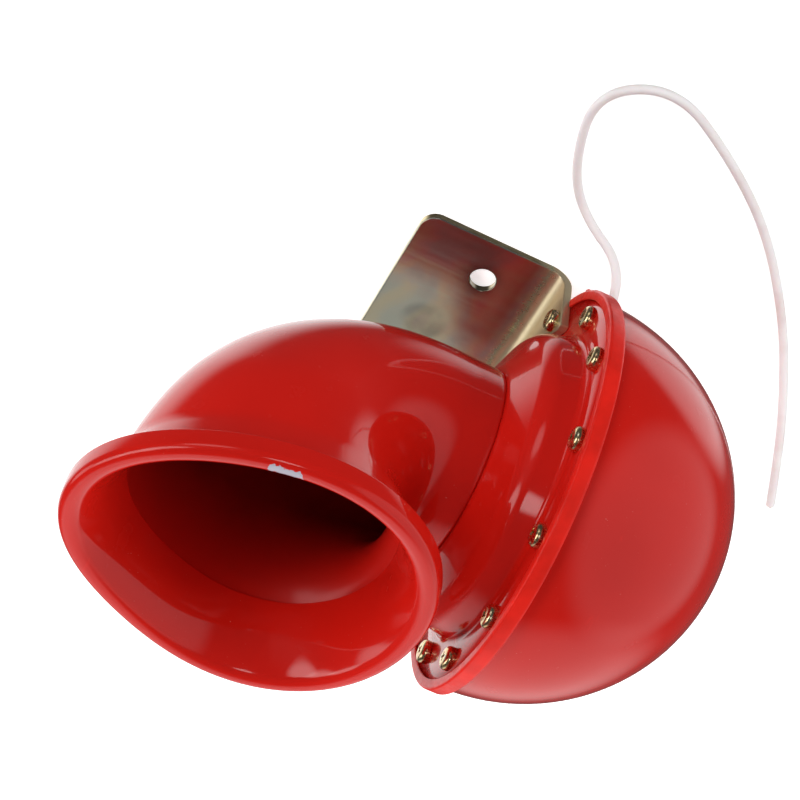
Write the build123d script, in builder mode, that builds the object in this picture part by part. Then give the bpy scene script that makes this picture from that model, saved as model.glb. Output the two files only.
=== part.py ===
from build123d import *
from math import cos, radians, sin, sqrt
import os

# Motor-driven car horn: a domed body, a bent trumpet and an L bracket.
# Row frame, millimetres: X runs from the dome to the trumpet, Z points away
# from the bracket's plate, and the origin lies between the two bracket holes.

# ---- driving dimensions -------------------------------------------------
# Pressed shells
flange_radius = 69.0
dome_wall = 1.2
dome_rim_turn = 1.2
dome_depth = 69.9
cover_wall = 1.2
bulge_inset = 7.75
bulge_foot_fillet = 3.0
bulge_shoulder_fillet = 9.0
bulge_shoulder_height = 11.2
bulge_shoulder_inset = 2.5
bulge_height = 18.1
neck_seat_radius = 35.2
collar_height = 7.0
neck_edge_fillet = 1.4
collar_fillet = 0.8

# Place of the horn on its bracket
band_floor_gap = 5.0
flange_x = -28.5

# Rubber edge band
band_wall = 1.0
band_lip = 0.8
band_lip_depth = 3.6
band_notch_gap = 0.5

# Diaphragm stack
gasket_thickness = 0.5
diaphragm_thickness = 0.4
ring_thickness = 3.0
ring_land = 5.75
ring_gap = 0.2

# Screws around the flange
screw_count = 12
screw_inset = 8.25
screw_radius = 2.0
screw_hole_gap = 0.2
thread_gap = 0.02
head_radius = 3.9
head_height = 2.8
recess_width = 1.1
recess_length = 4.4
recess_depth = 1.7
recess_taper = 8
head_rounding_share = 0.55
screw_tip_share = 0.25
flange_screw_length = 6.0
bracket_screw_length = 10.0
bracket_screw_angles = (240, 270, 300)

# Trumpet
trumpet_clocking = 9.0
trumpet_wall = 1.6
neck_radius = 33.7
bell_seat_gap = 0.5
bend_growth = 1.6
bend_steps = 8
flare_length = 18.0
socket_gap = 0.1
bell_axis_x = 77.6
bell_height = 72.0
bell_liner_depth = 23.5
bell_wall = 1.5
bell_rim_radius = 58.6
bell_rim_width = 7.0
bell_taper = 9.0
bell_lip_fillet = 2.9
bell_skirt = 8.0

# Bracket
plate_thickness = 3.0
leg_side_land = 5.125
plate_front_x = 28.5
plate_hole_radius = 4.5
plate_hole_spacing = 40.0
bend_inner_radius = 5.0
leg_end_land = 7.111
arch_gap = 0.2
corner_radius = 6.0
leg_corner_radius = 1.0

# Anvil on the diaphragm
anvil_radius = 4.0
anvil_height = 3.0
stud_radius = 2.5
stud_length = 6.5
anvil_washer_radius = 9.0
anvil_washer_thickness = 0.8
nut_across_flats = 8.0
nut_height = 3.2
anvil_chamfer = 0.4

# Ratchet wheel
wheel_teeth = 10
wheel_radius = 14.5
wheel_inner_radius = 8.0
tooth_circle_radius = 11.5
tooth_height = 2.0
tooth_gap = 0.3
tooth_fill = 0.5
tooth_end_inset = 1.0
tooth_slope = 80
tooth_chamfer = 0.5
wheel_thickness = 3.0
hub_radius = 6.0
hub_length = 7.5
set_screw_radius = 1.5
set_screw_sink = 0.4
set_screw_key_radius = 0.8
set_screw_key_depth = 1.2

# Motor and its bridge
bridge_thickness = 2.0
bridge_half_width = 15.0
bridge_web_x = -20.0
bridge_web_half_length = 33.0
bridge_foot_reach = 8.5
bridge_foot_margin = 4.5
bridge_screw_inset = 2.25
bridge_screw_z = 9.0
bridge_screw_length = 4.5
shaft_radius = 2.5
shaft_tail = 0.6
shaft_nose_inset = 0.5
shaft_chamfer = 0.4
running_gap = 0.05
slide_gap = 0.02
bush_radius = 5.0
bush_length = 5.0
can_radius = 18.0
can_wall = 1.5
motor_tail_gap = 15.8
can_edge_fillet = 1.2
boss_radius = 6.5
end_cap_thickness = 4.0
cap_edge_fillet = 1.0
cap_boss_height = 2.0
cap_boss_wall = 2.0
rear_bush_sink = 1.0
magnet_inner_radius = 13.2
magnet_gap = 0.1
magnet_back_gap = 7.5
magnet_opening = 50.0
magnet_front_gap = 2.0
rotor_radius = 12.6
rotor_front_gap = 5.4
rotor_tail_gap = 1.2
pole_shoe = 2.2
slot_mouth = 1.8
slot_cut = 6.0
core_hub_wall = 1.4
pole_overlap = 2.0
rotor_poles = 5
pole_neck_width = 4.0
slot_bottom_radius = 4.6
winding_overhang = 2.6
winding_gap = 0.1
winding_shoe_gap = 0.2
winding_bore_wall = 1.0
winding_fillet = 1.2
commutator_radius = 4.6
commutator_length = 4.2
commutator_gap = 0.6
segment_slot_depth = 0.5
segment_slot_width = 0.5
brush_gap = 0.03
brush_length = 5.0
brush_width = 3.0
brush_inset = 0.5
holder_end_wall = 0.5
holder_side_wall = 0.8
holder_shift = 1.2
holder_base = 1.1
holder_top_wall = 0.9
motor_screw_radius = 1.5
motor_screw_circle = 12.5
motor_screw_scale = 0.72

# Leads
lead_angle = 228.0
lead_exit_x = -7.6
lead_radius = 1.6
grommet_flange_radius = 3.7
grommet_groove_radius = 2.6
grommet_flange = 1.3
grommet_seat_gap = 0.3
grommet_taper = 12
lead_straight = 13.0
lead_floor_gap = 0.05
arc_share = 0.45
inner_wire_radius = 1.1
wire_clearance = 4.0
wire_swing = 1.333
wire_drop = 1.6
wire_inward = 14.0
terminal_inset = 1.0
tab_width = 3.0
tab_thickness = 0.8
tab_length = 5.0
tab_offset = 9.0

# ---- places worked out from them ----------------------------------------
dome_radius = flange_radius - dome_rim_turn
band_radius = flange_radius + band_wall
axis_height = band_radius + band_floor_gap
screw_circle_radius = flange_radius - screw_inset
ring_inner_radius = screw_circle_radius - ring_land
bulge_radius = screw_circle_radius - bulge_inset
arch_radius = bulge_radius + bulge_foot_fillet + arch_gap
bracket_screw_y = screw_circle_radius * cos(radians(bracket_screw_angles[-1]))
bracket_screw_drop = -screw_circle_radius * sin(radians(bracket_screw_angles[-1]))
plate_half_width = bracket_screw_y + leg_side_land
leg_top = axis_height - bracket_screw_drop + leg_end_land
bridge_screw_y = screw_circle_radius - bridge_screw_inset
bridge_foot_start = bridge_screw_y - bridge_foot_reach
bridge_foot_end = bridge_screw_y + bridge_foot_margin
groove = cover_wall + 2 * gasket_thickness + diaphragm_thickness + dome_wall
cover_face_x = groove / 2
cover_back_x = cover_face_x - cover_wall
front_gasket_back_x = cover_back_x - gasket_thickness
diaphragm_back_x = front_gasket_back_x - diaphragm_thickness
rear_gasket_back_x = diaphragm_back_x - gasket_thickness
dome_rim_back_x = rear_gasket_back_x - dome_wall
ring_back_x = rear_gasket_back_x - ring_thickness
band_half_width = groove / 2 + band_lip
ring_outer_radius = dome_radius - dome_wall - ring_gap
motor_y = tooth_circle_radius
motor_face_x = bridge_web_x - bridge_thickness
can_back_x = dome_rim_back_x - dome_depth + motor_tail_gap
can_length = motor_face_x - can_back_x
cap_back_x = can_back_x - end_cap_thickness
magnet_length = can_length - can_wall - magnet_front_gap - magnet_back_gap
rotor_back_x = can_back_x + commutator_length + winding_overhang + rotor_tail_gap
rotor_length = motor_face_x - rotor_front_gap - winding_overhang - rotor_back_x
anvil_back_x = diaphragm_back_x - anvil_washer_thickness - anvil_height
tooth_tip_x = anvil_back_x - tooth_gap
wheel_face_x = tooth_tip_x - tooth_height
wheel_back_x = wheel_face_x - wheel_thickness
hub_back_x = wheel_back_x - hub_length
seat_x = cover_face_x + bulge_height
bell_inner_radius = bell_rim_radius - bell_rim_width
bell_throat_radius = bell_inner_radius - bell_taper
bend_radius = bell_height - bell_liner_depth - bell_seat_gap
bend_start_x = bell_axis_x - bend_radius
bell_slope = (bell_inner_radius - bell_throat_radius) / bell_liner_depth

horn_center = Vector(flange_x, 0, axis_height)
horn_axis = Axis(horn_center, (1, 0, 0))
motor_axis = Axis(horn_center + Vector(0, motor_y, 0), (1, 0, 0))
trumpet_up = Vector(0, sin(radians(trumpet_clocking)), cos(radians(trumpet_clocking)))
half_section = Plane(origin=horn_center, x_dir=(1, 0, 0), z_dir=(0, -1, 0))
motor_section = Plane(origin=horn_center + Vector(0, motor_y, 0), x_dir=(1, 0, 0), z_dir=(0, -1, 0))


def across(x, y=0.0, z=0.0):
    """A plane square to the horn's axis, its local x along +Y and local y along +Z."""
    return Plane(origin=horn_center + Vector(x, y, z), x_dir=(0, 1, 0), z_dir=(1, 0, 0))


def around(radius, angle):
    """Local coordinates on such a plane, at an angle from +Y towards +Z."""
    return (radius * cos(radians(angle)), radius * sin(radians(angle)))


def trumpet_point(x, up):
    """A point in the plane of the trumpet's bend."""
    return horn_center + Vector(x, 0, 0) + trumpet_up * up


def save(piece, label):
    piece.part.label = label
    export_step(piece.part, f"parts/{label}.step")


os.makedirs("parts", exist_ok=True)
all_angles = [360 * n / screw_count for n in range(screw_count)]
plain_angles = [angle for angle in all_angles if angle not in bracket_screw_angles]
screw_points = [around(screw_circle_radius, angle) for angle in all_angles]


# ---- rear dome ----------------------------------------------------------
lead_direction = Vector(0, cos(radians(lead_angle)), sin(radians(lead_angle)))
dome_drop = (dome_rim_back_x - lead_exit_x) / dome_depth
lead_hole_radius = dome_radius * sqrt(1 - dome_drop**2)
lead_hole_plane = Plane(
    origin=horn_center + Vector(lead_exit_x, 0, 0) + lead_direction * lead_hole_radius,
    x_dir=(1, 0, 0),
    z_dir=lead_direction,
)

with BuildPart() as rear_dome:
    with BuildSketch(half_section):
        with Locations((dome_rim_back_x, 0)):
            Ellipse(dome_depth, dome_radius)
            Ellipse(dome_depth - dome_wall, dome_radius - dome_wall, mode=Mode.SUBTRACT)
        with Locations((dome_rim_back_x, 0)):
            Rectangle(
                2 * dome_depth, 2 * dome_radius, align=(Align.MIN, Align.CENTER), mode=Mode.SUBTRACT
            )
            Rectangle(
                4 * dome_depth, 2 * dome_radius, align=(Align.CENTER, Align.MAX), mode=Mode.SUBTRACT
            )
        with Locations((dome_rim_back_x, dome_radius - dome_wall)):
            Rectangle(dome_wall, flange_radius - dome_radius + dome_wall, align=Align.MIN)
    revolve(axis=horn_axis)
    with BuildSketch(lead_hole_plane):
        Circle(grommet_groove_radius)
    extrude(amount=dome_wall * 4, both=True, mode=Mode.SUBTRACT)
save(rear_dome, "rear_dome")

# ---- threaded ring ------------------------------------------------------
bridge_screw_points = [
    (y, z) for y in (-bridge_screw_y, bridge_screw_y) for z in (-bridge_screw_z, bridge_screw_z)
]

with BuildPart() as threaded_ring:
    with BuildSketch(across(ring_back_x)):
        Circle(ring_outer_radius)
        Circle(ring_inner_radius, mode=Mode.SUBTRACT)
        with Locations(*screw_points):
            Circle(screw_radius + thread_gap, mode=Mode.SUBTRACT)
        with Locations(*bridge_screw_points):
            Circle(screw_radius + thread_gap, mode=Mode.SUBTRACT)
    extrude(amount=ring_thickness)
save(threaded_ring, "threaded_ring")


# ---- gaskets and diaphragm ----------------------------------------------
def punched_ring(back_x, thickness, inner_radius):
    """A flat ring the size of the flange, punched for the screws."""
    with BuildPart() as ring:
        with BuildSketch(across(back_x)):
            Circle(flange_radius)
            Circle(inner_radius, mode=Mode.SUBTRACT)
            with Locations(*screw_points):
                Circle(screw_radius + screw_hole_gap, mode=Mode.SUBTRACT)
        extrude(amount=thickness)
    return ring


rear_gasket = punched_ring(rear_gasket_back_x, gasket_thickness, ring_inner_radius)
save(rear_gasket, "rear_gasket")

front_gasket = punched_ring(front_gasket_back_x, gasket_thickness, ring_inner_radius)
save(front_gasket, "front_gasket")

diaphragm = punched_ring(diaphragm_back_x, diaphragm_thickness, stud_radius + slide_gap)
save(diaphragm, "diaphragm")

# ---- front cover --------------------------------------------------------
with BuildPart() as front_cover:
    with BuildSketch(half_section):
        with BuildLine():
            FilletPolyline(
                (cover_face_x, flange_radius),
                (cover_face_x, bulge_radius),
                (cover_face_x + bulge_shoulder_height, bulge_radius - bulge_shoulder_inset),
                (seat_x, neck_seat_radius),
                (seat_x, neck_radius - trumpet_wall - socket_gap),
                (seat_x + collar_height, neck_radius - trumpet_wall - socket_gap),
                radius=(bulge_foot_fillet, bulge_shoulder_fillet, neck_edge_fillet, collar_fillet),
            )
            offset(amount=cover_wall, side=Side.RIGHT)
        make_face()
    revolve(axis=horn_axis)
    with BuildSketch(across(cover_back_x)):
        with Locations(*screw_points):
            Circle(screw_radius + screw_hole_gap)
    extrude(amount=cover_wall, mode=Mode.SUBTRACT)
save(front_cover, "front_cover")

# ---- edge band ----------------------------------------------------------
with BuildPart() as edge_band:
    with BuildSketch(half_section):
        with Locations((0, (band_radius + flange_radius) / 2)):
            Rectangle(2 * band_half_width, band_radius - flange_radius)
        with Locations((cover_face_x, band_radius - band_lip_depth)):
            Rectangle(band_lip, band_lip_depth, align=Align.MIN)
        with Locations((-band_half_width, dome_radius)):
            Rectangle(band_lip, band_radius - dome_radius, align=Align.MIN)
    revolve(axis=horn_axis)
    with BuildSketch(across(cover_face_x, z=-band_radius)):
        Rectangle(2 * (plate_half_width + band_notch_gap), band_radius)
    extrude(amount=plate_thickness, mode=Mode.SUBTRACT)
save(edge_band, "edge_band")


# ---- trumpet elbow ------------------------------------------------------
def flare_radius(height):
    """The elbow's outer radius where it follows the bell's liner, at a height over the horn's axis."""
    liner_inner = bell_throat_radius + bell_slope * (height - bell_height + bell_liner_depth)
    return liner_inner + bell_wall * sqrt(1 + bell_slope**2) + socket_gap + trumpet_wall


def elbow_planes():
    """Planes along the bend, with the elbow's outer radius on each."""
    stations = []
    bend_end_radius = flare_radius(bend_radius)
    for step in range(bend_steps + 1):
        share = step / bend_steps
        bend = radians(90 * share)
        middle = trumpet_point(bend_start_x + bend_radius * sin(bend), bend_radius * (1 - cos(bend)))
        ahead = Vector(cos(bend), 0, 0) + trumpet_up * sin(bend)
        radius = neck_radius + (bend_end_radius - neck_radius) * share**bend_growth
        stations.append((middle, ahead, radius))
    side = Vector(1, 0, 0).cross(trumpet_up)
    return [(Plane(origin=p, x_dir=side, z_dir=ahead), radius) for p, ahead, radius in stations]


with BuildPart() as trumpet_elbow:
    for hollow, mode in ((0, Mode.ADD), (trumpet_wall, Mode.SUBTRACT)):
        for plane, radius in elbow_planes():
            with BuildSketch(plane):
                Circle(radius - hollow)
        loft(mode=mode)
        for height in (bend_radius, bend_radius + flare_length):
            with BuildSketch(Plane(origin=trumpet_point(bell_axis_x, height), z_dir=trumpet_up)):
                Circle(flare_radius(height) - hollow)
        loft(mode=mode)
        with BuildSketch(across(seat_x)):
            Circle(neck_radius - hollow)
        extrude(amount=bend_start_x - seat_x, mode=mode)
    neck_edges = trumpet_elbow.edges().filter_by(GeomType.CIRCLE).group_by(Axis.X)[0]
    chamfer(neck_edges.sort_by(SortBy.RADIUS)[0], collar_fillet)
save(trumpet_elbow, "trumpet_elbow")

# ---- bell mouth ---------------------------------------------------------
bell_axis = Axis(trumpet_point(bell_axis_x, 0), trumpet_up)
trumpet_side = Vector(1, 0, 0).cross(trumpet_up)
bell_section = Plane(origin=trumpet_point(bell_axis_x, bell_height), x_dir=(1, 0, 0), z_dir=trumpet_side)

with BuildPart() as bell_mouth:
    with BuildSketch(bell_section):
        with BuildLine():
            FilletPolyline(
                (bell_throat_radius, -bell_liner_depth),
                (bell_inner_radius, 0),
                (bell_rim_radius, 0),
                (bell_rim_radius, -bell_skirt),
                radius=(bell_lip_fillet, bell_lip_fillet),
            )
            offset(amount=bell_wall, side=Side.RIGHT)
        make_face()
    revolve(axis=bell_axis)
save(bell_mouth, "bell_mouth")

# ---- mounting bracket ---------------------------------------------------
leg_back_x = flange_x + cover_face_x
leg_front_x = leg_back_x + plate_thickness
plate_holes = [(0, -plate_hole_spacing / 2), (0, plate_hole_spacing / 2)]
bracket_points = [around(screw_circle_radius, angle) for angle in bracket_screw_angles]

with BuildPart() as mounting_bracket:
    with BuildSketch(Plane.XZ):
        with BuildLine():
            Polyline(
                (leg_back_x, 0),
                (plate_front_x, 0),
                (plate_front_x, plate_thickness),
                (leg_front_x, plate_thickness),
                (leg_front_x, leg_top),
                (leg_back_x, leg_top),
                close=True,
            )
        profile = make_face()
        outer_corner = profile.vertices().group_by(Axis.X)[0].sort_by(Axis.Y)[0]
        inner_corner = profile.vertices().group_by(Axis.X)[1].sort_by(Axis.Y)[0]
        fillet(inner_corner, bend_inner_radius)
        fillet(outer_corner, bend_inner_radius + plate_thickness)
    extrude(amount=plate_half_width, both=True)
    with BuildSketch(Plane.XY):
        with Locations(*plate_holes):
            Circle(plate_hole_radius)
    extrude(amount=plate_thickness, mode=Mode.SUBTRACT)
    with BuildSketch(across(cover_face_x)):
        Circle(arch_radius)
        with Locations(*bracket_points):
            Circle(screw_radius + screw_hole_gap)
    extrude(amount=plate_thickness, mode=Mode.SUBTRACT)
    front_corners = mounting_bracket.edges().filter_by(Axis.Z).group_by(Axis.X)[-1]
    fillet(front_corners, corner_radius)
    leg_corners = mounting_bracket.edges().filter_by(Axis.X).group_by(Axis.Z)[-1]
    fillet(leg_corners, leg_corner_radius)
save(mounting_bracket, "mounting_bracket")


# ---- screws -------------------------------------------------------------
def pan_screw(length, radius=screw_radius, scale=1.0):
    """A cross-recess pan head screw: head upwards from the XY plane, shank below it."""
    with BuildPart() as screw:
        with BuildSketch(Plane.XY):
            Circle(head_radius * scale)
        extrude(amount=head_height * scale)
        fillet(screw.edges().group_by(Axis.Z)[-1], head_height * scale * head_rounding_share)
        with BuildSketch(Plane.XY.offset(head_height * scale)):
            Rectangle(recess_length * scale, recess_width * scale)
            Rectangle(recess_width * scale, recess_length * scale)
        extrude(amount=-recess_depth * scale, taper=recess_taper, mode=Mode.SUBTRACT)
        with BuildSketch(Plane.XY):
            Circle(radius)
        extrude(amount=-length)
        chamfer(screw.edges().group_by(Axis.Z)[0], radius * screw_tip_share)
    return screw.part


def screws_at(planes, screw):
    """The same screw set on several planes, as separate solids of one node."""
    with BuildPart() as screws:
        for plane in planes:
            add(plane.location * screw)
    return screws


plain_points = [around(screw_circle_radius, angle) for angle in plain_angles]
flange_screw_planes = [across(cover_face_x, *point) for point in plain_points]
flange_screws = screws_at(flange_screw_planes, pan_screw(flange_screw_length))
save(flange_screws, "flange_screws")

leg_face_x = cover_face_x + plate_thickness
bracket_screw_planes = [across(leg_face_x, *point) for point in bracket_points]
bracket_screws = screws_at(bracket_screw_planes, pan_screw(bracket_screw_length))
save(bracket_screws, "bracket_screws")

# ---- anvil on the diaphragm ---------------------------------------------
with BuildPart() as anvil_stud:
    with BuildSketch(across(anvil_back_x)):
        Circle(anvil_radius)
    extrude(amount=anvil_height)
    chamfer(anvil_stud.edges().group_by(Axis.X)[0], anvil_chamfer)
    with BuildSketch(across(anvil_back_x + anvil_height)):
        Circle(stud_radius)
    extrude(amount=stud_length)
save(anvil_stud, "anvil_stud")

with BuildPart() as anvil_washers:
    for back_x in (diaphragm_back_x - anvil_washer_thickness, front_gasket_back_x):
        with BuildSketch(across(back_x)):
            Circle(anvil_washer_radius)
            Circle(stud_radius + slide_gap, mode=Mode.SUBTRACT)
        extrude(amount=anvil_washer_thickness)
save(anvil_washers, "anvil_washers")

with BuildPart() as anvil_nut:
    with BuildSketch(across(front_gasket_back_x + anvil_washer_thickness)):
        RegularPolygon(nut_across_flats / 2, 6, major_radius=False)
        Circle(stud_radius + thread_gap, mode=Mode.SUBTRACT)
    extrude(amount=nut_height)
save(anvil_nut, "anvil_nut")

# ---- ratchet wheel ------------------------------------------------------
tooth_length = wheel_radius - wheel_inner_radius
tooth_width = 2 * wheel_radius * sin(radians(180 / wheel_teeth)) * tooth_fill

with BuildPart() as ratchet_wheel:
    with BuildSketch(across(wheel_back_x, motor_y)):
        Circle(wheel_radius)
    extrude(amount=wheel_thickness)
    with BuildSketch(across(hub_back_x, motor_y)):
        Circle(hub_radius)
    extrude(amount=hub_length)
    with BuildSketch(across(wheel_face_x, motor_y)):
        with PolarLocations(wheel_inner_radius + tooth_length / 2, wheel_teeth):
            Trapezoid(tooth_width, tooth_length - tooth_end_inset, tooth_slope, rotation=90)
    extrude(amount=tooth_height)
    teeth_tops = ratchet_wheel.edges().group_by(Axis.X)[-1]
    chamfer(teeth_tops, tooth_chamfer)
    with BuildSketch(across(hub_back_x, motor_y)):
        Circle(shaft_radius + slide_gap)
    extrude(amount=hub_length + wheel_thickness + tooth_height, mode=Mode.SUBTRACT)
    hub_middle = horn_center + Vector(hub_back_x + hub_length / 2, motor_y, 0)
    set_screw_plane = Plane(origin=hub_middle, x_dir=(1, 0, 0), z_dir=(0, 0, 1))
    with BuildSketch(set_screw_plane):
        Circle(set_screw_radius + thread_gap)
    extrude(amount=2 * hub_radius, mode=Mode.SUBTRACT)
save(ratchet_wheel, "ratchet_wheel")

with BuildPart() as wheel_set_screw:
    with BuildSketch(set_screw_plane.offset(shaft_radius + slide_gap)):
        Circle(set_screw_radius)
    extrude(amount=hub_radius - shaft_radius - set_screw_sink)
    with BuildSketch(set_screw_plane.offset(hub_radius - set_screw_sink)):
        RegularPolygon(set_screw_key_radius, 6)
    extrude(amount=-set_screw_key_depth, mode=Mode.SUBTRACT)
save(wheel_set_screw, "wheel_set_screw")

# ---- motor bridge -------------------------------------------------------
with BuildPart() as motor_bridge:
    foot_back_x = ring_back_x - bridge_thickness
    with BuildSketch(Plane(origin=horn_center, x_dir=(1, 0, 0), z_dir=(0, 0, 1))):
        with BuildLine():
            Polyline(
                (ring_back_x, -bridge_foot_end),
                (ring_back_x, -bridge_foot_start),
                (bridge_web_x, -bridge_web_half_length),
                (bridge_web_x, bridge_web_half_length),
                (ring_back_x, bridge_foot_start),
                (ring_back_x, bridge_foot_end),
            )
            offset(amount=bridge_thickness, side=Side.LEFT)
        make_face()
    extrude(amount=bridge_half_width, both=True)
    with BuildSketch(across(motor_face_x, motor_y)):
        Circle(boss_radius + slide_gap)
        with Locations((0, -motor_screw_circle), (0, motor_screw_circle)):
            Circle(motor_screw_radius + screw_hole_gap)
    extrude(amount=bridge_thickness, mode=Mode.SUBTRACT)
    with BuildSketch(across(foot_back_x)):
        with Locations(*bridge_screw_points):
            Circle(screw_radius + screw_hole_gap)
        with Locations((-screw_circle_radius, 0), (screw_circle_radius, 0)):
            Circle(screw_radius + 2 * screw_hole_gap)
    extrude(amount=bridge_thickness, mode=Mode.SUBTRACT)
save(motor_bridge, "motor_bridge")

facing_back = [
    Plane(origin=horn_center + Vector(foot_back_x, y, z), x_dir=(0, 1, 0), z_dir=(-1, 0, 0))
    for y, z in bridge_screw_points
]
bridge_screws = screws_at(facing_back, pan_screw(bridge_screw_length))
save(bridge_screws, "bridge_screws")

# ---- motor --------------------------------------------------------------
with BuildPart() as motor_can:
    with BuildSketch(across(can_back_x, motor_y)):
        Circle(can_radius)
    extrude(amount=can_length)
    fillet(motor_can.edges().group_by(Axis.X)[-1], can_edge_fillet)
    with BuildSketch(across(motor_face_x, motor_y)):
        Circle(boss_radius)
    extrude(amount=bridge_thickness)
    with BuildSketch(across(can_back_x, motor_y)):
        Circle(can_radius - can_wall)
    extrude(amount=can_length - can_wall, mode=Mode.SUBTRACT)
    with BuildSketch(across(motor_face_x - bush_length + bridge_thickness, motor_y)):
        Circle(bush_radius)
    extrude(amount=bush_length, mode=Mode.SUBTRACT)
    with BuildSketch(across(motor_face_x - can_wall, motor_y)):
        with Locations((0, -motor_screw_circle), (0, motor_screw_circle)):
            Circle(motor_screw_radius + thread_gap)
    extrude(amount=can_wall, mode=Mode.SUBTRACT)
save(motor_can, "motor_can")


def bush(back_x):
    """A sintered bush round the motor shaft."""
    with BuildPart() as sleeve:
        with BuildSketch(across(back_x, motor_y)):
            Circle(bush_radius)
            Circle(shaft_radius + running_gap, mode=Mode.SUBTRACT)
        extrude(amount=bush_length)
    return sleeve


front_bush = bush(bridge_web_x - bush_length)
save(front_bush, "front_bush")

rear_bush = bush(cap_back_x - rear_bush_sink)
save(rear_bush, "rear_bush")

tab_points = [(0, -tab_offset), (0, tab_offset)]
brush_reach = commutator_radius + brush_gap

with BuildPart() as motor_end_cap:
    with BuildSketch(across(cap_back_x, motor_y)):
        Circle(can_radius)
    extrude(amount=end_cap_thickness)
    with BuildSketch(across(can_back_x, motor_y)):
        Circle(can_radius - can_wall - slide_gap)
        Circle(can_radius - 2 * can_wall, mode=Mode.SUBTRACT)
    extrude(amount=can_wall)
    fillet(motor_end_cap.edges().group_by(Axis.X)[0], cap_edge_fillet)
    with BuildSketch(across(cap_back_x - cap_boss_height, motor_y)):
        Circle(bush_radius + cap_boss_wall)
    extrude(amount=cap_boss_height)
    with BuildSketch(across(cap_back_x - cap_boss_height, motor_y)):
        Circle(bush_radius)
    extrude(amount=end_cap_thickness + cap_boss_height, mode=Mode.SUBTRACT)
    with BuildSketch(across(cap_back_x, motor_y)):
        with Locations(*tab_points):
            Rectangle(tab_width, tab_thickness)
    extrude(amount=end_cap_thickness, mode=Mode.SUBTRACT)
save(motor_end_cap, "motor_end_cap")

with BuildPart() as motor_terminals:
    with BuildSketch(across(cap_back_x - tab_length, motor_y)):
        with Locations(*tab_points):
            Rectangle(tab_width, tab_thickness)
    extrude(amount=tab_length + end_cap_thickness)
save(motor_terminals, "motor_terminals")

motor_screw_planes = [
    across(bridge_web_x, motor_y, -motor_screw_circle),
    across(bridge_web_x, motor_y, motor_screw_circle),
]
motor_screw = pan_screw(bridge_thickness + can_wall, motor_screw_radius, motor_screw_scale)
motor_screws = screws_at(motor_screw_planes, motor_screw)
save(motor_screws, "motor_screws")

with BuildPart() as field_magnets:
    with BuildSketch(across(motor_face_x - can_wall - magnet_front_gap - magnet_length, motor_y)):
        Circle(can_radius - can_wall - magnet_gap)
        Circle(magnet_inner_radius, mode=Mode.SUBTRACT)
        for side in (0, 180):
            Polygon(
                (0, 0),
                around(2 * can_radius, side - magnet_opening / 2),
                around(2 * can_radius, side + magnet_opening / 2),
                align=None,
                mode=Mode.SUBTRACT,
            )
    extrude(amount=magnet_length)
save(field_magnets, "field_magnets")

# ---- rotor --------------------------------------------------------------
with BuildPart() as motor_shaft:
    with BuildSketch(across(cap_back_x - shaft_tail, motor_y)):
        Circle(shaft_radius)
    extrude(amount=tooth_tip_x - shaft_nose_inset - cap_back_x + shaft_tail)
    chamfer(motor_shaft.edges().group_by(Axis.X)[-1], shaft_chamfer)
save(motor_shaft, "motor_shaft")

pole_angles = [360 * n / rotor_poles for n in range(rotor_poles)]
slot_angles = [angle + 180 / rotor_poles for angle in pole_angles]

with BuildPart() as rotor_core:
    with BuildSketch(across(rotor_back_x, motor_y)):
        Circle(rotor_radius)
        Circle(rotor_radius - pole_shoe, mode=Mode.SUBTRACT)
        for angle in slot_angles:
            with Locations(Location((*around(rotor_radius, angle), 0), (0, 0, angle))):
                Rectangle(slot_cut, slot_mouth, mode=Mode.SUBTRACT)
        Circle(slot_bottom_radius + core_hub_wall)
        for angle in pole_angles:
            with Locations(Location((*around(rotor_radius / 2, angle), 0), (0, 0, angle))):
                Rectangle(rotor_radius - pole_overlap, pole_neck_width)
        Circle(shaft_radius + slide_gap, mode=Mode.SUBTRACT)
    extrude(amount=rotor_length)
save(rotor_core, "rotor_core")

with BuildPart() as rotor_windings:
    with BuildSketch(across(rotor_back_x - winding_overhang, motor_y)):
        Circle(rotor_radius - pole_shoe - winding_shoe_gap)
        Circle(shaft_radius + winding_bore_wall, mode=Mode.SUBTRACT)
    extrude(amount=rotor_length + 2 * winding_overhang)
    fillet(rotor_windings.edges().group_by(Axis.X)[0].sort_by(SortBy.RADIUS)[-1], winding_fillet)
    fillet(rotor_windings.edges().group_by(Axis.X)[-1].sort_by(SortBy.RADIUS)[-1], winding_fillet)
    with BuildSketch(across(rotor_back_x, motor_y)):
        Circle(slot_bottom_radius + core_hub_wall + winding_gap)
        for angle in pole_angles:
            with Locations(Location((*around(rotor_radius / 2, angle), 0), (0, 0, angle))):
                Rectangle(rotor_radius + pole_overlap, pole_neck_width + 2 * winding_gap)
    extrude(amount=rotor_length, mode=Mode.SUBTRACT)
save(rotor_windings, "rotor_windings")

with BuildPart() as commutator:
    with BuildSketch(across(can_back_x + commutator_gap, motor_y)):
        Circle(commutator_radius)
        Circle(shaft_radius + slide_gap, mode=Mode.SUBTRACT)
    extrude(amount=commutator_length)
    with BuildSketch(across(can_back_x + commutator_gap, motor_y)):
        for angle in slot_angles:
            with Locations(Location((*around(commutator_radius, angle), 0), (0, 0, angle))):
                Rectangle(2 * segment_slot_depth, segment_slot_width)
    extrude(amount=commutator_length, mode=Mode.SUBTRACT)
save(commutator, "commutator")

brush_middle = brush_reach + brush_length / 2
brush_height = commutator_length - 2 * brush_inset
brush_back_x = can_back_x + commutator_gap + brush_inset

with BuildPart() as brushes:
    with BuildSketch(across(brush_back_x, motor_y)):
        with Locations((-brush_middle, 0), (brush_middle, 0)):
            Rectangle(brush_length, brush_width)
    extrude(amount=brush_height)
    with BuildSketch(across(brush_back_x, motor_y)):
        Circle(brush_reach)
    extrude(amount=brush_height, mode=Mode.SUBTRACT)
save(brushes, "brushes")

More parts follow.
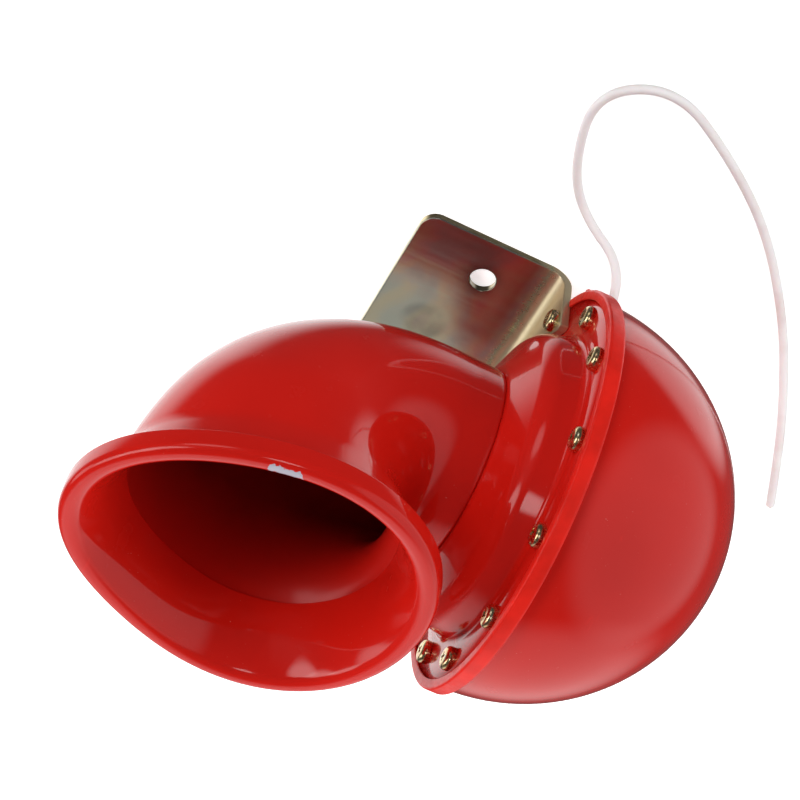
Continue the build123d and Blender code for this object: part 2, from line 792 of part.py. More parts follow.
holder_outer = (brush_length + 2 * holder_end_wall, brush_width + 2 * holder_side_wall)
with BuildPart() as brush_holders:
    with BuildSketch(across(can_back_x, motor_y)):
        with Locations((-brush_middle - holder_shift, 0), (brush_middle + holder_shift, 0)):
            Rectangle(*holder_outer)
    extrude(amount=brush_height + holder_base + holder_top_wall)
    with BuildSketch(across(brush_back_x - slide_gap, motor_y)):
        with Locations((-brush_middle, 0), (brush_middle, 0)):
            Rectangle(brush_length + 2 * slide_gap, brush_width + 2 * slide_gap)
    extrude(amount=brush_height + 2 * slide_gap, mode=Mode.SUBTRACT)
save(brush_holders, "brush_holders")

# ---- leads --------------------------------------------------------------
grommet_outer = lead_hole_radius + grommet_seat_gap + grommet_flange
grommet_inner = lead_hole_radius - dome_wall - 2 * grommet_seat_gap - grommet_flange


def lead_plane(distance):
    """A plane square to the lead hole, at a distance from the horn's axis."""
    return Plane(
        origin=horn_center + Vector(lead_exit_x, 0, 0) + lead_direction * distance,
        x_dir=(1, 0, 0),
        z_dir=lead_direction,
    )


with BuildPart() as lead_grommet:
    with BuildSketch(lead_plane(lead_hole_radius + grommet_seat_gap)):
        Circle(grommet_flange_radius)
    extrude(amount=grommet_flange, taper=grommet_taper)
    with BuildSketch(lead_plane(grommet_inner)):
        Circle(grommet_flange_radius)
    extrude(amount=grommet_flange)
    with BuildSketch(lead_plane(grommet_inner)):
        Circle(grommet_groove_radius)
    extrude(amount=grommet_outer - grommet_inner)
    with BuildSketch(lead_plane(grommet_inner)):
        Circle(inner_wire_radius)
    extrude(amount=grommet_outer - grommet_inner, mode=Mode.SUBTRACT)
save(lead_grommet, "lead_grommet")

lead_exit = lead_plane(grommet_outer).origin
floor_height = lead_radius + lead_floor_gap
supply_route = [
    tuple(lead_exit),
    tuple(lead_exit + lead_direction * lead_straight),
    (-17.0, -60.0, floor_height),
    (-5.0, -76.0, floor_height),
    (2.0, -104.0, floor_height),
    (-20.0, -118.0, floor_height),
    (-48.0, -103.0, floor_height),
    (-73.0, -84.0, floor_height),
    (-96.0, -56.0, floor_height),
    (-112.0, -30.0, floor_height),
    (-125.0, -5.0, floor_height),
    (-135.0, 17.6, floor_height),
]


def bend_radii(route):
    """The radius of the arc at each inner corner of a lead's route."""
    points = [Vector(*point) for point in route]
    radii = []
    for before, corner, after in zip(points, points[1:], points[2:]):
        arriving = corner - before
        leaving = after - corner
        half_turn = radians(arriving.get_angle(leaving)) / 2
        radii.append(arc_share * min(arriving.length, leaving.length) * cos(half_turn) / sin(half_turn))
    return tuple(radii)


def lead_tube(route, radius):
    """A lead along a route of straight runs joined by tangent arcs."""
    with BuildPart() as tube:
        with BuildLine():
            path = FilletPolyline(*route, radius=bend_radii(route))
        with BuildSketch(Plane(origin=path @ 0, z_dir=path % 0)):
            Circle(radius)
        sweep(path=path)
    print([round(bend, 1) for bend in bend_radii(route)], round(path.length, 1), round(tube.part.volume))
    return tube


supply_lead = lead_tube(supply_route, lead_radius)
save(supply_lead, "supply_lead")

terminal_x = cap_back_x - tab_length / 2 - terminal_inset
inner_turns = [
    (motor_face_x - wire_clearance, -wire_swing * can_radius, -wire_drop * can_radius),
    (can_back_x + 2 * wire_clearance, -can_radius / 3, -can_radius - wire_clearance),
    (cap_back_x - wire_clearance / 2, 0, -can_radius),
    (terminal_x, motor_y - tab_width / 2, -tab_offset),
]
inner_route = [
    tuple(lead_exit),
    tuple(lead_plane(lead_hole_radius - wire_inward).origin),
    *[tuple(horn_center + Vector(*turn)) for turn in inner_turns],
]
inner_lead = lead_tube(inner_route, inner_wire_radius)
save(inner_lead, "inner_lead")
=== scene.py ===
from math import atan2, cos, hypot, pi, radians, sin, sqrt, tau

import bmesh
import bpy
from bpy.props import FloatProperty, FloatVectorProperty, IntProperty, PointerProperty
from mathutils import Matrix, Vector


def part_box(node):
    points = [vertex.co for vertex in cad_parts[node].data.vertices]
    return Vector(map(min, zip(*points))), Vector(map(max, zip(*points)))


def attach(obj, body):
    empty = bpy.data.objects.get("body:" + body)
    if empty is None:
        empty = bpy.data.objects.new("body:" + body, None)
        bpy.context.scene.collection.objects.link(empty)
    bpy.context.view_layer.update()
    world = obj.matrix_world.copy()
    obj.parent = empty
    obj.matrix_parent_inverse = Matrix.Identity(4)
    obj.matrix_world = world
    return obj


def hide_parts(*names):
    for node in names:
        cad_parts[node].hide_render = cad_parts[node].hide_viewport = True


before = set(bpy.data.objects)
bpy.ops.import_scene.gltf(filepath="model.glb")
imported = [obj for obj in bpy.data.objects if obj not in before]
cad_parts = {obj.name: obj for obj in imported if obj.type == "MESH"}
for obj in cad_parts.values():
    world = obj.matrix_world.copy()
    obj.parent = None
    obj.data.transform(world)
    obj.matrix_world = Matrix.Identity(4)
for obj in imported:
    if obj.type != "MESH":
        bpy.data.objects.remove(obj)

bl_info = {
    "name": "Motor Horn Kit",
    "version": (1, 0, 0),
    "blender": (4, 5, 0),
    "location": "View3D > Sidebar > Horn",
    "description": "Dresses a motor-driven car horn piece by piece",
    "category": "Object",
}

MM = 0.001

# ---- places read from the frame -----------------------------------------
BAND_LOW, BAND_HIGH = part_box("edge_band")
CENTER = (BAND_LOW + BAND_HIGH) / 2
BRACKET_LOW, BRACKET_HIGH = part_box("mounting_bracket")
AHEAD = Vector((1, 0, 0))
CLOCKING = radians(9.0)
TRUMPET_UP = Vector((0, sin(CLOCKING), cos(CLOCKING)))
TRUMPET_SIDE = AHEAD.cross(TRUMPET_UP)

# ---- pressed shells -----------------------------------------------------
SHEET = 1.2 * MM
GROOVE = 3.8 * MM
BAND_LIP = 0.8 * MM
BAND_RADIUS = 70.0 * MM
FLANGE_RADIUS = 69.0 * MM
DOME_RADIUS = 67.8 * MM
DOME_DEPTH = 69.9 * MM
SCREW_CIRCLE = 60.75 * MM
BRACKET_ANGLES = (240, 270, 300)

# ---- trumpet ------------------------------------------------------------
TRUMPET_WALL = 1.6 * MM
SEAT_X = 20.0 * MM
NECK_RADIUS = 33.7 * MM
BEND_RADIUS = 48.0 * MM
BEND_GROWTH = 1.6
BELL_AXIS_X = 77.6 * MM
BELL_HEIGHT = 72.0 * MM
BELL_WALL = 1.5 * MM
BELL_DEPTH = 23.5 * MM
BELL_THROAT = 42.6 * MM
BELL_INNER = 51.6 * MM
BELL_RIM = 58.6 * MM
BELL_SKIRT = 8.0 * MM
FLARE_LENGTH = 18.0 * MM
BELL_SLOPE = (BELL_INNER - BELL_THROAT) / BELL_DEPTH
HEEL_SHIFT = 2.2 * MM
HEEL_SWELL = 0.6 * MM
# how the pressed mouth is out of true: the heights between which it grows, the radius where it is full,
# its shift, widening, two-, three- and four-cornered waves, and tip
PRESS_LOW = 22.0 * MM
PRESS_HIGH = 66.0 * MM
PRESS_FULL = 40.0 * MM
PRESS_SHIFT = (-1.44 * MM, -2.58 * MM)
PRESS_WIDER = -0.89 * MM
PRESS_WAVES = ((2, 1.11 * MM, 0.79 * MM), (3, 2.21 * MM, 0.28 * MM), (4, 0.18 * MM, -0.13 * MM))
PRESS_TIP = (-0.17 * MM / BELL_RIM, 0.91 * MM / BELL_RIM)
# marks on the trumpet, each (path, reach, color, roughness): a chip at the inner lip, painted shadow in the
# gap under the skirt
CHIP_PATH = ((0.0597, -0.0360, 0.1535), (0.0531, -0.0371, 0.1535))
BELL_CHIP = (CHIP_PATH, 4.0 * MM, (0.43, 0.41, 0.48), 0.35)
# a dark ragged line of painted shadow on the elbow, along the gap under the bell's skirt
GAP_SHADOW_PATH = ((0.0860, -0.0190, 0.1330), (0.0796, -0.0252, 0.1353), (0.0711, -0.0305, 0.1371))
ELBOW_GAP_SHADOW = (GAP_SHADOW_PATH, 1.5 * MM, (0.05, 0.004, 0.004), 0.3)
# how far below the top of the bend the painted shade inside the trumpet grows to its darkest
THROAT_SHADE_DEPTH = 34.0 * MM

# ---- supply lead --------------------------------------------------------
LEAD_RADIUS = 1.6 * MM
LEAD_ANGLE = radians(228.0)
LEAD_X = -7.6 * MM
LEAD_WAY = Vector((0, cos(LEAD_ANGLE), sin(LEAD_ANGLE)))
# where the lead runs on the floor, in millimetres
LEAD_ROUTE = (
    (-17.0, -60.0), (-5.0, -76.0), (2.0, -104.0), (-20.0, -118.0), (-48.0, -103.0),
    (-73.0, -84.0), (-96.0, -56.0), (-112.0, -30.0), (-125.0, -5.0), (-135.0, 17.6),
)

# ---- bracket and screws -------------------------------------------------
PLATE = 3.0 * MM
PLATE_HOLE = 4.5 * MM
PLATE_HOLES = [Vector((0, y * MM, PLATE / 2)) for y in (-20.0, 20.0)]
PLATE_STAIN = (0.010, 0.006, 0.003)
LEG_ARCH = 56.2 * MM
SCREW_TIP = -5.0 * MM
SCREW_SHANK = 2.0 * MM
SCREW_HEAD = 4.0 * MM
SCREW_HEIGHT = 3.1 * MM
CROSS_ARM = (4.6 * MM, 1.05 * MM, 3.2 * MM)


# ---- what a user would change -------------------------------------------
class HornFinishProps(bpy.types.PropertyGroup):
    enamel: FloatVectorProperty(
        name="Enamel",
        description="Red of the dome, cover and trumpet",
        subtype="COLOR",
        default=(0.65, 0.011, 0.006),
    )
    edging: FloatVectorProperty(
        name="Edging", description="Red of the rubber band", subtype="COLOR", default=(0.81, 0.018, 0.010)
    )
    zinc: FloatVectorProperty(
        name="Zinc", description="Yellow passivated plate", subtype="COLOR", default=(0.50, 0.47, 0.33)
    )
    insulation: FloatVectorProperty(
        name="Insulation", description="The supply lead", subtype="COLOR", default=(0.95, 0.91, 0.91)
    )


class HornShapeProps(bpy.types.PropertyGroup):
    turns: IntProperty(name="Turns", description="Steps round a large turned piece", default=192, min=48)
    screw_turns: IntProperty(name="Screw Turns", description="Steps round a screw head", default=40, min=16)
    band_gap: FloatProperty(
        name="Band Gap", description="Slit where the band's ends meet", default=0.25 * MM, subtype="DISTANCE"
    )
    lead_strands: IntProperty(
        name="Strands", description="Copper strands at the lead's bare end", default=7, min=1
    )


class HornStageProps(bpy.types.PropertyGroup):
    camera_place: FloatVectorProperty(
        name="Camera Place",
        description="Where the camera stands",
        subtype="XYZ",
        default=(0.1734, -0.4937, 0.6860),
    )
    camera_lens: FloatProperty(name="Lens", description="Focal length in millimetres", default=112.5)
    floor_size: FloatProperty(name="Floor", description="Side of the floor", default=12.0, subtype="DISTANCE")


# ---- making and placing meshes ------------------------------------------
def put(name, bm, material, body="root", hard_edge=radians(38)):
    """Turns a finished bmesh into an object that rides on a body."""
    mesh = bpy.data.meshes.new(name)
    bm.to_mesh(mesh)
    bm.free()
    mesh.shade_smooth()
    mesh.set_sharp_from_angle(angle=hard_edge)
    mesh.materials.append(material)
    obj = bpy.data.objects.new(name, mesh)
    bpy.context.scene.collection.objects.link(obj)
    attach(obj, body)
    return obj


def break_edges(bm, geom, width, segments, affect="EDGES"):
    """Rounds some edges of a solid, or some corners of a wire."""
    bmesh.ops.bevel(
        bm, geom=geom, offset=width, segments=segments, profile=0.5, affect=affect, material=-1
    )


def outline(bm, points, rounding=(), closed=True):
    """A wire through points; rounding gives (corner's number, radius, segments)."""
    corners = [bm.verts.new(point) for point in points]
    for first, second in zip(corners, corners[1:] + corners[:1] * closed):
        bm.edges.new((first, second))
    for number, radius, segments in rounding:
        break_edges(bm, [corners[number]], radius, segments, "VERTICES")


def close_up(bm):
    """Merges doubles and turns every face outwards."""
    bmesh.ops.remove_doubles(bm, verts=bm.verts, dist=0.002 * MM)
    bmesh.ops.recalc_face_normals(bm, faces=bm.faces)


def turned(points, rounding, middle, along, steps, closed=True):
    """Spins an outline of (distance along, radius) points round an axis."""
    across = along.orthogonal().normalized()
    bm = bmesh.new()
    outline(bm, [middle + along * a + across * r for a, r in points], rounding, closed)
    bmesh.ops.spin(
        bm, geom=bm.verts[:] + bm.edges[:], cent=middle, axis=along, angle=tau, steps=steps, use_merge=True
    )
    close_up(bm)
    return bm


def frame_at(middle, ahead, side, size=1.0):
    """A matrix whose Z looks ahead and whose X lies to one side, scaled by size."""
    ahead = ahead.normalized()
    side = (side - ahead * side.dot(ahead)).normalized()
    turn = Matrix((side, ahead.cross(side), ahead)).transposed().to_4x4()
    return Matrix.Translation(middle) @ turn @ Matrix.Diagonal((size, size, size, 1.0))


def carved(bm, cutters):
    """The same mesh with closed cutters taken out of it."""
    scratch = bpy.data.objects.new("scratch", bpy.data.meshes.new("scratch"))
    bm.to_mesh(scratch.data)
    bpy.context.scene.collection.objects.link(scratch)
    for cutter in cutters:
        tool = bpy.data.objects.new("tool", bpy.data.meshes.new("tool"))
        cutter.to_mesh(tool.data)
        cutter.free()
        bpy.context.scene.collection.objects.link(tool)
        cut = scratch.modifiers.new("cut", "BOOLEAN")
        cut.operation = "DIFFERENCE"
        cut.solver = "EXACT"
        cut.object = tool
        depsgraph = bpy.context.evaluated_depsgraph_get()
        result = bpy.data.meshes.new_from_object(scratch.evaluated_get(depsgraph))
        scratch.modifiers.clear()
        scratch.data = result
        bpy.data.objects.remove(tool)
    bm.clear()
    bm.from_mesh(scratch.data)
    bpy.data.objects.remove(scratch)
    return bm


def rod(middle, ahead, radius, length, steps=48):
    """A plain closed rod, for cutting round holes."""
    bm = bmesh.new()
    bmesh.ops.create_cone(
        bm,
        cap_ends=True,
        segments=steps,
        radius1=radius,
        radius2=radius,
        depth=length,
        matrix=frame_at(middle, ahead, ahead.orthogonal()),
    )
    return bm


def block(middle, size):
    """A plain closed block, for cutting slots."""
    bm = bmesh.new()
    bmesh.ops.create_cube(bm, size=1.0, matrix=Matrix.Translation(middle) @ Matrix.Diagonal((*size, 1.0)))
    return bm


# ---- finishes -----------------------------------------------------------
PLAIN_GRAIN = (1.0, 0.08, 0.08)
PLATE_RAINBOW = (
    (0.30, (0.26, 0.35, 0.36)), (0.42, (0.42, 0.46, 0.42)), (0.50, (0.58, 0.50, 0.33)),
    (0.56, (0.56, 0.36, 0.38)), (0.63, (0.36, 0.44, 0.50)), (0.75, (0.56, 0.54, 0.44)),
)
PLATE_STREAKS = (
    (0.15, (0.50, 0.47, 0.33)), (0.38, (0.30, 0.32, 0.38)), (0.54, (0.60, 0.38, 0.24)),
    (0.68, (0.40, 0.52, 0.34)), (0.84, (0.66, 0.44, 0.26)), (1.00, (0.62, 0.50, 0.30)),
)


def add_node(tree, kind, links=(), **values):
    """Adds a node; each link is a socket with another node's output or a plain value."""
    node = tree.nodes.new(kind)
    for name, value in values.items():
        setattr(node, name, value)
    for socket, source in links:
        if isinstance(source, bpy.types.NodeSocket):
            tree.links.new(source, node.inputs[socket])
        else:
            node.inputs[socket].default_value = source
    return node


class Finish:
    """A material's node tree, built up by short calls."""

    def __init__(self, name, color, roughness, metallic=0.0, **constants):
        self.material = bpy.data.materials.new(name)
        self.material.use_nodes = True
        self.tree = self.material.node_tree
        self.shader = self.tree.nodes["Principled BSDF"]
        self.shader.inputs["Base Color"].default_value = (*color, 1.0)
        self.shader.inputs["Roughness"].default_value = roughness
        self.shader.inputs["Metallic"].default_value = metallic
        for socket, value in constants.items():
            self.shader.inputs[socket.replace("_", " ")].default_value = value
        self.place = self.tree.nodes.new("ShaderNodeTexCoord").outputs["Object"]

    def node(self, kind, links=(), **values):
        return add_node(self.tree, kind, links, **values)

    def vector(self, operation, *sources):
        node = self.node("ShaderNodeVectorMath", list(enumerate(sources)), operation=operation)
        return node.outputs["Value" if operation in ("DISTANCE", "DOT_PRODUCT") else "Vector"]

    def noise(self, scale, detail=2.0, distortion=0.0, where=None):
        links = [("Vector", where or self.place), ("Scale", scale), ("Detail", detail)]
        links.append(("Distortion", distortion))
        return self.node("ShaderNodeTexNoise", links).outputs["Fac"]

    def stretched(self, factors):
        node = self.node("ShaderNodeMapping", [("Vector", self.place), ("Scale", factors)])
        return node.outputs["Vector"]

    def ramp(self, value, stops):
        node = self.node("ShaderNodeValToRGB", [("Fac", value)])
        while len(node.color_ramp.elements) < len(stops):
            node.color_ramp.elements.new(0.5)
        for element, (position, color) in zip(node.color_ramp.elements, stops):
            element.position = position
            element.color = (*color, 1.0) if len(color) == 3 else color
        return node.outputs["Color"]

    def level(self, value, low, high, out_low=0.0, out_high=1.0):
        links = [("Value", value), ("From Min", low), ("From Max", high)]
        links += [("To Min", out_low), ("To Max", out_high)]
        return self.node("ShaderNodeMapRange", links).outputs["Result"]

    def patchy(self, scale, detail, low, high, out_low=0.0, out_high=1.0):
        """Noise whose middle levels are stretched to the given ones."""
        return self.level(self.noise(scale, detail), low, high, out_low, out_high)

    def math(self, operation, first, second=0.0):
        node = self.node("ShaderNodeMath", [(0, first), (1, second)], operation=operation)
        return node.outputs["Value"]

    def times(self, first, second):
        return self.math("MULTIPLY", first, second)

    def plus(self, first, second):
        return self.math("ADD", first, second)

    def mix(self, factor, first, second):
        node = self.node("ShaderNodeMix", data_type="RGBA")
        for socket, source in ((0, factor), (6, first), (7, second)):
            if isinstance(source, bpy.types.NodeSocket):
                self.tree.links.new(source, node.inputs[socket])
            elif isinstance(source, float):
                node.inputs[socket].default_value = source
            else:
                node.inputs[socket].default_value = (*source, 1.0)
        return node.outputs[2]

    def near(self, point, reach):
        """1 at a point, fading to 0 at a reach from it."""
        return self.level(self.vector("DISTANCE", self.place, point), reach, 0.0)

    def beside(self, path, reach):
        """1 along a path of straight runs, fading to 0 at a reach from it."""
        whole = None
        for first, last in zip(path, path[1:]):
            run = Vector(last) - Vector(first)
            away = self.vector("SUBTRACT", self.place, first)
            along = self.vector("DOT_PRODUCT", away, run / run.length_squared)
            foot = self.node("ShaderNodeVectorMath", [(0, run)], operation="SCALE")
            self.tree.links.new(self.level(along, 0.0, 1.0), foot.inputs["Scale"])
            near = self.level(self.vector("DISTANCE", away, foot.outputs["Vector"]), reach, 0.0)
            whole = near if whole is None else self.math("MAXIMUM", whole, near)
        return whole

    def paint(self, color=None, roughness=None, metallic=None):
        for socket, source in (("Base Color", color), ("Roughness", roughness), ("Metallic", metallic)):
            if source is not None:
                self.tree.links.new(source, self.shader.inputs[socket])

    def bump(self, height, distance, strength=1.0):
        links = [("Height", height), ("Distance", distance), ("Strength", strength)]
        node = self.node("ShaderNodeBump", links)
        self.tree.links.new(node.outputs["Normal"], self.shader.inputs["Normal"])


def shade(color, factor):
    return tuple(min(1.0, part * factor) for part in color)


def enamel(name, color, marks=()):
    """Deep gloss stoving enamel with faint orange peel, fine scuffs and dust.

    Each mark is (path, reach, color, roughness): a ragged patch where the coat is chipped, or a ragged line
    of painted shadow.
    """
    f = Finish(
        name, color, 0.22, Coat_Weight=0.75, Coat_Roughness=0.025, Coat_IOR=1.5, Specular_IOR_Level=0.06
    )
    cloud = f.noise(14.0, 3.0)
    depth = f.mix(f.level(cloud, 0.3, 0.7), color, shade(color, 0.82))
    dust = f.patchy(1900.0, 1.0, 0.775, 0.80)
    patch = f.patchy(60.0, 2.0, 0.50, 0.60)
    specks = f.times(dust, patch)
    scuffs = f.level(f.noise(260.0, 4.0, where=f.stretched((1.0, 0.12, 1.0))), 0.70, 0.78, 0.0, 0.25)
    tinted = f.mix(scuffs, depth, shade(color, 1.25))
    tone = f.mix(f.times(specks, 0.45), tinted, (0.72, 0.42, 0.38))
    gloss = f.patchy(90.0, 4.0, 0.3, 0.75, 0.15, 0.30)
    height = f.plus(f.noise(420.0, 2.0), f.times(specks, 1.5))
    for path, reach, shown, rough in marks:
        # a mark is a chip in the coat, or a line of painted shadow
        ragged = f.plus(f.beside(path, reach), f.patchy(800.0, 2.0, 0.3, 0.7, -0.2, 0.2))
        bare = f.level(ragged, 0.47, 0.53)
        tone = f.mix(bare, tone, shown)
        gloss = f.plus(gloss, f.times(bare, rough))
        height = f.math("SUBTRACT", height, f.times(bare, 3.0))
    f.paint(color=tone, roughness=gloss)
    f.bump(height, 0.010 * MM, 0.35)
    return f.material


def shaded_throat_enamel(name, color):
    """Thin, duller enamel inside the trumpet, its colour darkened as painted shade, the more the deeper it
    lies.
    """
    f = Finish(name, color, 0.4, Coat_Weight=0.25, Coat_Roughness=0.2, Specular_IOR_Level=0.1)
    up = f.vector("DOT_PRODUCT", f.place, TRUMPET_UP)
    level = CENTER.dot(TRUMPET_UP)
    depth = f.level(up, level + BEND_RADIUS, level + BEND_RADIUS - THROAT_SHADE_DEPTH)
    # painted shade: the inner wall darkens the deeper it lies in the bend
    painted_throat_shade = f.times(depth, f.patchy(45.0, 3.0, 0.2, 0.7, 0.75, 1.0))
    f.paint(
        color=f.mix(painted_throat_shade, shade(color, 0.8), shade(color, 0.16)),
        roughness=f.patchy(90.0, 4.0, 0.3, 0.75, 0.34, 0.5),
    )
    f.bump(f.noise(420.0, 2.0), 0.010 * MM, 0.35)
    return f.material


def edging_rubber(name, color):
    """Soft red strip: satin, slightly mottled, with fine mould lines."""
    f = Finish(name, color, 0.38, Specular_IOR_Level=0.16, Coat_Weight=0.15, Coat_Roughness=0.12)
    mottle = f.noise(120.0, 4.0)
    f.paint(
        color=f.mix(f.level(mottle, 0.35, 0.7), color, shade(color, 0.80)),
        roughness=f.patchy(600.0, 3.0, 0.3, 0.7, 0.30, 0.48),
    )
    f.bump(f.noise(900.0, 3.0, where=f.stretched((1.0, 0.35, 0.35))), 0.02 * MM, 0.5)
    return f.material


def zinc_plate(name, color, holes):
    """Yellow passivated zinc: rainbow clouds, faint rolling grain and a dark stain round each hole."""
    f = Finish(name, color, 0.22, 0.96, Coat_Weight=0.2, Coat_Roughness=0.08)
    cloud = f.noise(30.0, 4.0, 0.9)
    rainbow = f.ramp(cloud, PLATE_RAINBOW)
    tone = f.mix(0.5, color, rainbow)
    split = f.node("ShaderNodeSeparateXYZ", [("Vector", f.place)])
    across, up = split.outputs["X"], split.outputs["Z"]
    bend = f.level(across, BRACKET_LOW.x + 14.0 * MM, BRACKET_LOW.x + 3.0 * MM)
    drawn = f.plus(bend, f.times(f.noise(38.0, 2.0, 0.4), 0.35))
    streaks = f.ramp(drawn, PLATE_STREAKS)
    tone = f.mix(f.level(drawn, 0.25, 0.75, 0.0, 0.85), tone, streaks)
    skin = f.level(up, 2.2 * MM, 2.85 * MM)
    gold = f.mix(f.patchy(300.0, 3.0, 0.35, 0.65), (0.52, 0.38, 0.16), (0.80, 0.68, 0.40))
    flat = f.math("MAXIMUM", skin, bend)
    tone = f.mix(f.level(flat, 0.0, 1.0, 0.8, 0.0), tone, gold)
    stain = None
    for hole in holes:
        ring = f.math("POWER", f.near(hole, 11.0 * MM), 1.6)
        stain = ring if stain is None else f.math("MAXIMUM", stain, ring)
    smoke = f.times(stain, f.patchy(120.0, 3.0, 0.3, 0.65, 0.8, 1.9))
    patch = f.near(PLATE_STAIN, 9.0 * MM)
    ringed = f.times(f.level(patch, 0.0, 0.3), f.patchy(90.0, 4.0, 0.35, 0.65, 0.1, 0.45))
    pits = f.patchy(700.0, 2.0, 0.70, 0.78, 0.0, 0.2)
    dark = f.math("MINIMUM", f.plus(f.math("MAXIMUM", smoke, ringed), pits), 0.8)
    grain = f.noise(520.0, 3.0, where=f.stretched((0.05, 1.0, 1.0)))
    f.paint(
        color=f.mix(dark, tone, (0.12, 0.10, 0.09)),
        roughness=f.plus(f.level(grain, 0.3, 0.7, 0.18, 0.25), f.times(bend, 0.12)),
        metallic=f.level(drawn, 0.2, 0.9, 0.96, 0.72),
    )
    f.bump(grain, 0.002 * MM, 0.15)
    return f.material


def zinc_screw(name, color):
    """Bright yellow zinc with a rosy tint and tool scratches."""
    f = Finish(name, color, 0.2, 1.0)
    stops = [(0.35, color), (0.5, (0.80, 0.64, 0.32)), (0.62, (0.66, 0.42, 0.26))]
    tint = f.ramp(f.noise(420.0, 3.0, 0.8), stops)
    grime = f.patchy(900.0, 4.0, 0.62, 0.72, 0.0, 0.6)
    gloss = f.patchy(1300.0, 3.0, 0.3, 0.7, 0.13, 0.32)
    f.paint(color=f.mix(grime, tint, shade(color, 0.30)), roughness=gloss)
    f.bump(f.noise(2200.0, 3.0, where=f.stretched((0.2, 1.0, 1.0))), 0.006 * MM, 0.5)
    return f.material


def insulation(name, color):
    """Soft white lead covering, with a faint rosy smear here and there."""
    f = Finish(name, color, 0.42, Subsurface_Weight=0.08, Subsurface_Scale=0.001, Specular_IOR_Level=0.4)
    smear = f.patchy(55.0, 4.0, 0.50, 0.68, 0.0, 0.55)
    gloss = f.patchy(800.0, 3.0, 0.3, 0.7, 0.34, 0.5)
    f.paint(color=f.mix(smear, color, (0.80, 0.66, 0.64)), roughness=gloss)
    f.bump(f.noise(1500.0, 3.0), 0.01 * MM, 0.4)
    return f.material


def worked_metal(name, color, roughness, grain, wear):
    """Turned, ground or pressed metal of an inner piece, with a lay and some dulling."""
    f = Finish(name, color, roughness, 1.0)
    lay = f.noise(900.0, 3.0, where=f.stretched(grain))
    dull = f.patchy(110.0, 4.0, 0.50, 0.70, 0.0, wear)
    f.paint(
        color=f.mix(dull, color, shade(color, 0.45)),
        roughness=f.level(lay, 0.3, 0.7, roughness * 0.75, min(1.0, roughness * 1.35)),
    )
    f.bump(lay, 0.012 * MM, 0.5)
    return f.material


def dull_solid(name, color, roughness, scale=500.0, speck=(0.3, 0.3, 0.3)):
    """Rubber, board, ferrite, carbon and moulded plastic: matt, with a fine speckle."""
    f = Finish(name, color, roughness, Specular_IOR_Level=0.4)
    fine = f.noise(scale, 4.0)
    f.paint(
        color=f.mix(f.level(fine, 0.55, 0.75, 0.0, 0.35), color, speck),
        roughness=f.level(f.noise(scale / 3, 3.0), 0.3, 0.7, roughness * 0.85, min(1.0, roughness * 1.15)),
    )
    f.bump(fine, 0.03 * MM, 0.6)
    return f.material


# ---- the supply lead ----------------------------------------------------
def lead_exit():
    """Where the lead leaves its grommet, on the dome's skin."""
    drop = (-GROOVE / 2 - LEAD_X) / DOME_DEPTH
    skin = DOME_RADIUS * sqrt(1 - drop**2)
    return CENTER + AHEAD * LEAD_X + LEAD_WAY * (skin + 1.6 * MM)


class HORN_OT_lead(bpy.types.Operator):
    """Lays the white supply lead and its bare copper end."""

    bl_idname = "horn.lead"
    bl_label = "Supply Lead"

    def execute(self, context):
        finish = context.scene.horn_finish
        start = lead_exit()
        floor = LEAD_RADIUS + 0.05 * MM
        route = [start, start + LEAD_WAY * 13.0 * MM]
        route += [Vector((x * MM, y * MM, floor)) for x, y in LEAD_ROUTE]
        curve = bpy.data.curves.new("white_lead", "CURVE")
        curve.dimensions = "3D"
        curve.bevel_depth = LEAD_RADIUS
        curve.bevel_resolution = 8
        curve.use_fill_caps = True
        spline = curve.splines.new("NURBS")
        spline.points.add(len(route) - 1)
        for point, place in zip(spline.points, route):
            point.co = (*place, 1.0)
        spline.order_u = 3
        spline.use_endpoint_u = True
        spline.resolution_u = 16
        curve.materials.append(insulation("white covering", finish.insulation))
        lead = bpy.data.objects.new("white_lead", curve)
        context.scene.collection.objects.link(lead)
        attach(lead, "root")
        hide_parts("supply_lead")
        strands = self.strands(route, context.scene.horn_shape.lead_strands)
        return {"FINISHED"}

    def strands(self, route, count):
        """Short copper strands that show at the cut end."""
        ahead = (route[-1] - route[-2]).normalized()
        bm = bmesh.new()
        for number in range(count):
            angle = tau * number / max(1, count - 1)
            spread = 0.0 if number == 0 else 0.42 * MM
            side = Vector((0, 0, 1)) * sin(angle) + ahead.cross(Vector((0, 0, 1))) * cos(angle)
            tip = 0.9 + 0.25 * (number % 3)
            bmesh.ops.create_cone(
                bm,
                cap_ends=True,
                segments=10,
                radius1=0.2 * MM,
                radius2=0.17 * MM,
                depth=tip * MM,
                matrix=frame_at(route[-1] + side * spread + ahead * (tip * 0.5 - 0.1) * MM, ahead, side),
            )
        copper = worked_metal("strand copper", (0.72, 0.33, 0.17), 0.3, PLAIN_GRAIN, 0.3)
        strands = put("lead_strands", bm, copper)
        return strands


class HORN_OT_grommet(bpy.types.Operator):
    """Moulds the black grommet that guides the lead out of the dome."""

    bl_idname = "horn.grommet"
    bl_label = "Lead Grommet"

    def execute(self, context):
        base = lead_exit() - LEAD_WAY * 4.2 * MM
        hole = LEAD_RADIUS + 0.06 * MM
        profile = [
            (0.0, hole),
            (0.0, 3.6 * MM),
            (1.0 * MM, 3.6 * MM),
            (1.0 * MM, 2.7 * MM),
            (2.4 * MM, 2.7 * MM),
            (2.4 * MM, 4.1 * MM),
            (4.1 * MM, 3.3 * MM),
            (4.1 * MM, hole),
        ]
        rounding = [(7, 0.25 * MM, 3), (6, 0.5 * MM, 5), (5, 0.4 * MM, 4), (1, 0.2 * MM, 2)]
        bm = turned(profile, rounding, base, LEAD_WAY, 64)
        grommet = put("soft_grommet", bm, dull_solid("grommet rubber", (0.022, 0.021, 0.021), 0.6))
        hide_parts("lead_grommet")
        return {"FINISHED"}


